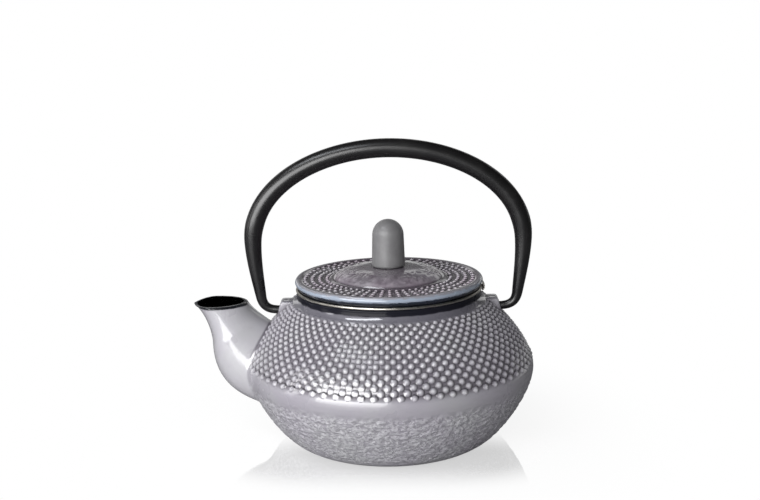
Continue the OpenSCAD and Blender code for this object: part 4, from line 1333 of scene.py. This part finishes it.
class LidForm:
    """The lid's outline below and above, and the sunk ring in which its hobnails stand."""

    def __init__(self, lid, nails, seat):
        self.lid = lid
        self.depth = nails.lid_height
        self.inner = nails.ring_r - (nails.rings - 1) * nails.ring_step - 1.7 * MM
        self.outer = nails.ring_r + 1.5 * MM
        self.roof_z = lid.top_z - lid.thickness
        t = np.linspace(0, 1, 60)
        edge_low = (lid.edge_r - 0.7 * MM, seat[1] + 2.1 * MM)
        edge_top = (lid.edge_r - 0.8 * MM, lid.top_z)
        below = [seat, beside(seat, 0.9, 0), beside(edge_low, 0, -1.2), edge_low]
        edge = [edge_low, (lid.edge_r + 0.2 * MM, seat[1] + 2.5 * MM),
                (lid.edge_r + 0.2 * MM, lid.top_z - 0.9 * MM), edge_top]
        dome_foot, dome_top = (lid.dome_r, lid.top_z), (lid.flat_r, lid.dome_z)
        dome = [dome_foot, beside(dome_foot, -1.6, 2.6), (lid.dome_r * 0.66, lid.dome_z), dome_top]
        self.bottom = chain(self.inside(seat[1]), spaced(bezier(below, t), 0.4 * MM))
        self.top = chain(
            spaced(bezier(edge, t), 0.25 * MM),
            spaced([edge_top, (lid.dome_r + 0.2 * MM, lid.top_z)], 0.6 * MM),
            spaced(bezier(dome, t), 0.45 * MM),
            [(lid.flat_r - 2 * MM, lid.dome_z), (lid.hole_r, lid.dome_z)])

    def inside(self, seat_z):
        """The outline under the roof and round the locating ring, as far as the seat."""
        lid, roof_z = self.lid, self.roof_z
        under_top = (lid.flat_r, lid.dome_z - lid.thickness)
        under_foot = (lid.dome_r, roof_z)
        ring_inner = lid.ring_r - lid.ring_t
        chamfer, edge, seat_chamfer = 0.8 * MM, 0.5 * MM, 0.3 * MM
        return chain(
            [(lid.hole_r, under_top[1]), under_top],
            bezier([under_top, beside(under_top, 6, 0), beside(under_foot, -3, 0), under_foot],
                   np.linspace(0, 1, 10)),
            [(ring_inner - chamfer, roof_z), (ring_inner, roof_z - chamfer), (ring_inner, lid.ring_z + edge)],
            arc((ring_inner + edge, lid.ring_z + edge), edge, 180, 270, 4),
            arc((lid.ring_r - edge, lid.ring_z + edge), edge, -90, 0, 4),
            [(lid.ring_r, seat_z - seat_chamfer), (lid.ring_r + seat_chamfer, seat_z)])

    def in_ground(self, r):
        """1 at a radius in the sunk ring and 0 outside it."""
        edge = 1.2 * MM
        return smooth(self.inner, self.inner + edge, r) * (1 - smooth(self.outer - edge, self.outer, r))

    def on_slope(self, r):
        """1 at a radius on the dome's slope and 0 beside it."""
        lid = self.lid
        return (smooth(lid.flat_r + 4 * MM, lid.flat_r + 8 * MM, r)
                * (1 - smooth(lid.dome_r - 1.5 * MM, lid.dome_r, r)))

    def upper_rings(self, sides):
        """Rings over the top, with the sunk ring and with the cast relief on the dome's slope."""
        lid = self.lid
        relief_size, middle = 2.3 * MM, 0.3
        rings = []
        for r, z in self.top[1:]:
            points = ring(r, z - self.depth * float(self.in_ground(r)), sides)
            slope = float(self.on_slope(r))
            if slope > 0 and z > lid.top_z:
                points[:, 2] += lid.hammer * slope * (hammered(points, relief_size) - middle)
            rings.append(points)
        return rings

    def relief(self, points, knob_r):
        """How high each point stands in its relief, set low as painted shade in the crease round the dome's
        foot and as a painted contact shadow round the knob.
        """
        lid = self.lid
        rho = np.linalg.norm(points[:, :2], axis=1)
        on_dome = rho < lid.dome_r
        smooth_z = np.interp(rho, self.top[::-1, 0], self.top[::-1, 1])
        rough = np.where(on_dome, (points[:, 2] - smooth_z) / lid.hammer * 0.05 + 0.02, 0)
        slope = smooth(lid.flat_r + 2 * MM, lid.dome_r - 2 * MM, rho) * on_dome
        # Painted shade in the crease round the dome's foot, and a painted contact shadow round the knob's
        # foot.
        dome_crease_shade = 1 - smooth(0.2 * MM, 0.8 * MM, np.abs(rho - lid.dome_r - 0.4 * MM))
        knob_contact_shadow = 1 - smooth(0.2 * MM, 1.2 * MM, rho - knob_r)
        # The sunk ring between the hobnails gets the lowest tone, partly painted shade.
        plain_tone, slope_tone = 0.34, 0.16
        tone = plain_tone * (1 - self.in_ground(rho)) + rough + slope_tone * slope
        return tone * (1 - np.clip(dome_crease_shade + knob_contact_shadow, 0, 1))


def vent_cut(lid, roof_z, finish):
    """The form that cuts the steam vent, flared at the top."""
    stations = [(lid.vent_r, roof_z - 1 * MM), (lid.vent_r, lid.top_z - 0.5 * MM),
                (lid.vent_r + 0.5 * MM, lid.top_z + 0.05 * MM), (lid.vent_r + 0.9 * MM, lid.top_z + 3 * MM)]
    sides = 32
    rings = [side_ring(r, z, sides, centre_x=lid.vent_x) for r, z in stations]
    return stacked("vent", rings, materials=[finish])


def make_lid(context):
    """The lid's casting, with its dome, its edge, its locating ring and its vent, and its hobnails."""
    scene = context.scene
    lid, colours = scene.teapot_lid, scene.teapot_colours
    top = material("lid_enamel", lid_enamel, colours, lid)
    under = material("black_enamel", black_enamel, colours)
    seat = (scene.teapot_body.neck_r - 1.8 * MM, scene.teapot_body.rim_z + scene.teapot_infuser.flange)
    form = LidForm(lid, scene.teapot_hobnails, seat)
    sides = 480
    lower = [ring(r, z, sides) for r, z in form.bottom]
    rings = lower + form.upper_rings(sides)
    casting = stacked("lid_casting", rings, materials=[top, under], closed=True)
    edge_rings = 2          # rings at the edge that the enamel of the top runs over
    for face in casting.data.polygons:
        if face.index < (len(lower) - edge_rings) * sides or face.index >= (len(rings) - 1) * sides:
            face.material_index = 1
    hole = vent_cut(lid, form.roof_z, under)
    carve(casting, hole, "DIFFERENCE")
    settle(casting, hole)
    sharpen(casting, 42)
    relief = form.relief(coordinates(casting.data), scene.teapot_knob.foot_r)
    set_share(casting.data, "relief", relief)
    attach(casting, "lid")
    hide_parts("lid")
    make_lid_hobnails(context)


def lid_enamel(colours, lid):
    """The lid's enamel: dark and warm on top, with a painted pale blue highlight round the edge, navy below.
    The hobnails' tips carry a painted highlight.
    """
    finish = Finish("lid_enamel", Coat_Weight=0.8, Coat_Roughness=0.08)
    warm_tint = (0.90, 0.82, 0.87)
    # The tips turn pale early: a painted highlight on the lid's hobnails.
    tip = (0.42, 0.80)
    base = glaze_colour(finish, finish.attribute("relief"), colours.lid_low_and_shade, colours.lid_mid,
                        colours.lid_high_and_highlight, tip)
    warm = finish.clouds(16 * MM, spread=(0.35, 0.65))
    base = finish.blend(warm, base, warm_tint, mode="MULTIPLY")
    rim = finish.step(finish.reach(), lid.edge_r, -1.9, -1.2)
    base = finish.blend(rim, base, colours.lid_rim)
    z = finish.run_height(2.8 * MM, 1.7 * MM, 3.0)
    on_top = finish.step(z, lid.top_z, -0.9, -0.3)
    # The pale blue band over the edge is a painted highlight.
    over_edge = finish.product(rim, finish.math("SUBTRACT", 1.0, on_top))
    base = finish.blend(over_edge, base, colours.lid_edge_highlight)
    above_navy = finish.step(z, lid.top_z, -2.35, -1.95)
    finish.surface(Base_Color=finish.blend(above_navy, colours.lid_navy, base),
                   Roughness=finish.clouds(9 * MM, 0.20, 0.30),
                   Normal=finish.bump(finish.noise(1.3 * MM), 0.04 * MM))
    return finish.data


def make_lid_hobnails(context):
    """The lid's hobnails, in rings whose hobnails stand in line along each radius."""
    scene = context.scene
    lid, nails = scene.teapot_lid, scene.teapot_hobnails
    wide_along, wide_across = 0.40, 0.46    # radius of a foot, as shares of the distances to its neighbours
    places, sizes = [], []
    for k in range(nails.rings):
        r = nails.ring_r - k * nails.ring_step
        places.append(side_ring(r, lid.top_z - nails.lid_height, nails.per_ring, nails.lid_phase))
        wide = min(wide_along * TURN * r / nails.per_ring, wide_across * nails.ring_step)
        sizes += [(wide, wide, nails.lid_height)] * nails.per_ring
    places, sizes = np.concatenate(places), np.array(sizes)
    free = np.linalg.norm(places[:, :2] - (lid.vent_x, 0), axis=1) > lid.vent_r + 1.2 * MM
    host = point_host("lid_hobnails", places[free], axis=[(0, 0, 1)] * int(free.sum()), size=sizes[free])
    glaze = material("lid_enamel", lid_enamel, scene.teapot_colours, lid)
    made = hobnail_tree().grow(host, material=glaze)
    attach(made, "lid")


# The knob ---------------------------------------------------------------------------------------

def make_knob(context):
    """The knob, and the finish of its screw and washer."""
    scene = context.scene
    knob, colours = scene.teapot_knob, scene.teapot_colours
    sides = 120
    head_z = knob.high_z - knob.head_r
    side_low_z = knob.low_z + knob.foot_round
    outline = chain(
        [(knob.bore_r, knob.low_z), (knob.foot_r - knob.foot_round, knob.low_z)],
        arc((knob.foot_r - knob.foot_round, side_low_z), knob.foot_round, -90, 0, 6),
        spaced([(knob.foot_r, side_low_z), (knob.head_r, head_z)], 1 * MM),
        arc((0, head_z), knob.head_r, 0, 89, 22))
    rings = [ring(knob.bore_r, knob.low_z + knob.bore_h, sides)] + [ring(r, z, sides) for r, z in outline]
    coating = material("knob_coating", knob_coating, colours)
    made = stacked("knob_turned", rings, materials=[coating])
    upright(made)
    sharpen(made, 50)
    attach(made, "lid")
    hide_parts("knob")
    fixing = material("steel_fixing", steel, colours, name="steel_fixing", roughness=0.3, grain=(1, 1, 1))
    for node in ("knob_screw", "knob_washer"):
        coat(frame["nodes"][node], fixing)


def coat(node, finish):
    """Gives a node of the frame another material."""
    node.data.materials.clear()
    node.data.materials.append(finish)


# The stage --------------------------------------------------------------------------------------

def floor_material(stage):
    """A white floor. It mirrors the pot faintly in front, and keeps a soft shadow round it."""
    white = (1, 1, 1, 1)
    lit_grey, mirrored_grey = (0.45, 0.45, 0.46), (0.16, 0.16, 0.17)
    finish = Finish("floor", Roughness=0.6)
    glossy = finish.add("LightPath", output="Is Glossy Ray")
    finish.surface(Base_Color=finish.blend(glossy, lit_grey, mirrored_grey))
    glow = finish.add("Emission", {"Color": white, "Strength": 1.0})
    shaded = finish.add("BsdfDiffuse", {"Color": white})
    shadow = finish.range(finish.reach(), stage.shadow_from, stage.shadow_to, stage.shadow, 0.0)
    lit = finish.add("MixShader", {0: shadow, 1: glow, 2: shaded})
    mirror = finish.add("BsdfGlossy", {"Color": white, "Roughness": 0.04})
    y = finish.along("Y")
    in_front = finish.range(y, -stage.fade_to, -stage.fade_from, 0.0, stage.reflection)
    before_axis = finish.step(y, 0, -28, -2, 1.0, 0.0)
    near_pot = finish.step(finish.reach(), 0, 58, 84, 1.0, 0.0)
    mirrored = finish.product(in_front, finish.product(before_axis, near_pot))
    seen = finish.add("MixShader", {0: mirrored, 1: lit, 2: mirror})
    camera = finish.add("LightPath", output="Is Camera Ray")
    both = finish.add("MixShader", {0: camera, 1: finish.shader.outputs[0], 2: seen})
    plug(finish.tree, finish.tree.nodes["Material Output"], "Surface", both)
    return finish.data


def area_light(name, azimuth, elevation, size, energy, tint=(1, 1, 1), mirrored=True):
    """A soft box that faces the pot. Azimuth is counted in degrees from the front towards +X."""
    distance = 0.9
    aim = Vector((0, 0, 60 * MM))
    light = bpy.data.lights.new(name, "AREA")
    light.shape = "RECTANGLE"
    light.size, light.size_y = size
    light.energy = energy
    light.color = tint
    lamp = bpy.data.objects.new(name, light)
    lamp.visible_glossy = mirrored
    a, e = math.radians(azimuth), math.radians(elevation)
    back = Vector((math.sin(a) * math.cos(e), -math.cos(a) * math.cos(e), math.sin(e)))
    lamp.location = aim + back * distance
    lamp.rotation_euler = (-back).to_track_quat("-Z", "Y").to_euler()
    bpy.context.scene.collection.objects.link(lamp)


def make_world():
    """A white background. It gives less light than it shows, and glossy faces mirror it darker still."""
    world = bpy.data.worlds.new("studio")
    world.use_nodes = True
    world.node_tree.nodes.clear()
    sky = Shading(world.node_tree)
    white = (1, 1, 1, 1)
    way = sky.add("SeparateXYZ", {0: sky.add("TexCoord", output="Generated")}).node.outputs

    # The light on the faces comes from the left and from low down, and some of it from low behind.
    low_down = sky.range(way["Z"], 0.0, 0.8, 0.34, 0.16)
    from_left = sky.range(way["X"], -0.95, 0.6, 2.6, 0.42)
    front_power = sky.product(low_down, from_left)
    low_back = sky.product(sky.range(way["Y"], 0.0, 0.7, 0.0, 0.9), sky.range(way["Z"], 0.1, 0.6, 1.0, 0.25))
    soft_power = sky.math("ADD", front_power, low_back)

    # Glossy faces mirror a dimmed room, a glow along the floor behind and a lit screen high behind.
    high_back = sky.product(sky.range(way["Y"], 0.5, 0.7), sky.range(way["Z"], 0.30, 0.35))
    screen = sky.product(high_back, sky.range(way["Z"], 0.46, 0.51, 1.0, 0.0))
    dimmed = sky.product(front_power, sky.range(way["Y"], -0.2, 0.3, 0.5, 0.22))
    floor_glow = sky.product(low_back, sky.range(way["Z"], 0.10, 0.17, 0.8, 0.0))
    faint = sky.math("ADD", dimmed, floor_glow)
    mirrored_power = sky.add("MapRange", {"Value": screen, "To Min": faint, "To Max": 1.0})

    glossy = sky.add("LightPath", output="Is Glossy Ray")
    power = sky.add("MapRange", {"Value": glossy, "To Min": soft_power, "To Max": mirrored_power})
    soft = sky.add("Background", {"Color": white, "Strength": power})
    plain = sky.add("Background", {"Color": white, "Strength": 1.0})
    camera = sky.add("LightPath", output="Is Camera Ray")
    both = sky.add("MixShader", {0: camera, 1: soft, 2: plain})
    plug(sky.tree, sky.tree.nodes.new("ShaderNodeOutputWorld"), "Surface", both)
    bpy.context.scene.world = world


def make_camera(stage):
    """The camera in front of the pot, looking a little down."""
    data = bpy.data.cameras.new("camera")
    data.sensor_width = 36
    data.lens = stage.lens
    camera = bpy.data.objects.new("camera", data)
    y, p, r = stage.yaw, stage.pitch, stage.roll
    forward = Vector((math.sin(y) * math.cos(p), math.cos(y) * math.cos(p), -math.sin(p)))
    right = Vector((math.cos(y), -math.sin(y), 0))
    up = right.cross(forward)
    right, up = right * math.cos(r) + up * math.sin(r), up * math.cos(r) - right * math.sin(r)
    turn = Matrix((right, up, -forward)).transposed().to_4x4()
    camera.matrix_world = Matrix.Translation((0, -stage.camera_y, stage.camera_z)) @ turn
    bpy.context.scene.collection.objects.link(camera)
    bpy.context.scene.camera = camera


def make_stage(context):
    """The floor, the world, the camera and the lights."""
    scene = context.scene
    stage = scene.teapot_stage
    scene.view_settings.view_transform = "Standard"
    half = stage.floor_size / 2
    floor = mesh_object("floor", [(-half, -half, 0), (half, -half, 0), (half, half, 0), (-half, half, 0)],
                        [[0, 1, 2, 3]], [floor_material(stage)])
    make_world()
    make_camera(stage)
    area_light("key", azimuth=-31, elevation=13, size=(0.92, 0.52), energy=11.0)
    area_light("front", azimuth=14, elevation=25, size=(1.4, 1.0), energy=1.7, mirrored=False)
    area_light("top", azimuth=-42, elevation=55, size=(0.55, 0.16), energy=2.2, tint=(0.93, 0.96, 1.0))
    area_light("left", azimuth=-82, elevation=10, size=(0.14, 0.8), energy=0.9)


# Operators --------------------------------------------------------------------------------------

class TEAPOT_OT_pot(bpy.types.Operator):
    """Make the pot's casting with its spout and ears"""
    bl_idname = "teapot.pot"
    bl_label = "Pot"

    def execute(self, context):
        make_pot(context)
        return {"FINISHED"}


class TEAPOT_OT_hobnails(bpy.types.Operator):
    """Make the hobnails on the body"""
    bl_idname = "teapot.hobnails"
    bl_label = "Hobnails"

    def execute(self, context):
        make_hobnails(context)
        return {"FINISHED"}


class TEAPOT_OT_bail(bpy.types.Operator):
    """Make the bail"""
    bl_idname = "teapot.bail"
    bl_label = "Bail"

    def execute(self, context):
        make_bail(context)
        return {"FINISHED"}


class TEAPOT_OT_infuser(bpy.types.Operator):
    """Make the steel infuser with its woven mesh"""
    bl_idname = "teapot.infuser"
    bl_label = "Infuser"

    def execute(self, context):
        make_infuser(context)
        return {"FINISHED"}


class TEAPOT_OT_lid(bpy.types.Operator):
    """Make the lid and its hobnails"""
    bl_idname = "teapot.lid"
    bl_label = "Lid"

    def execute(self, context):
        make_lid(context)
        return {"FINISHED"}


class TEAPOT_OT_knob(bpy.types.Operator):
    """Make the knob and finish its screw and washer"""
    bl_idname = "teapot.knob"
    bl_label = "Knob"

    def execute(self, context):
        make_knob(context)
        return {"FINISHED"}


class TEAPOT_OT_stage(bpy.types.Operator):
    """Make the floor, the lights and the camera"""
    bl_idname = "teapot.stage"
    bl_label = "Stage"

    def execute(self, context):
        make_stage(context)
        return {"FINISHED"}


OPERATORS = (TEAPOT_OT_pot, TEAPOT_OT_hobnails, TEAPOT_OT_bail, TEAPOT_OT_infuser, TEAPOT_OT_lid,
             TEAPOT_OT_knob, TEAPOT_OT_stage)


class TEAPOT_PT_panel(bpy.types.Panel):
    """Sizes, colours and makers of the teapot"""
    bl_idname = "TEAPOT_PT_panel"
    bl_label = "Teapot"
    bl_space_type = "VIEW_3D"
    bl_region_type = "UI"
    bl_category = "Teapot"

    def draw(self, context):
        for name in SETTINGS:
            group = getattr(context.scene, name)
            box = self.layout.box()
            box.label(text=name.replace("teapot_", "").capitalize())
            for field in group.__annotations__:
                box.prop(group, field)
        for operator in OPERATORS:
            self.layout.operator(operator.bl_idname)


def register():
    """Registers the settings, the operators and the panel."""
    for group in SETTINGS.values():
        bpy.utils.register_class(group)
    for name, group in SETTINGS.items():
        setattr(bpy.types.Scene, name, PointerProperty(type=group))
    for item in (*OPERATORS, TEAPOT_PT_panel):
        bpy.utils.register_class(item)


def unregister():
    """Takes back what register did."""
    for item in reversed((*OPERATORS, TEAPOT_PT_panel)):
        bpy.utils.unregister_class(item)
    for name, group in SETTINGS.items():
        delattr(bpy.types.Scene, name)
        bpy.utils.unregister_class(group)


def main():
    """Makes the teapot and its stage."""
    register()
    for operator in OPERATORS:
        getattr(bpy.ops.teapot, operator.bl_idname.split(".")[1])()


if __name__ == "__main__":
    main()
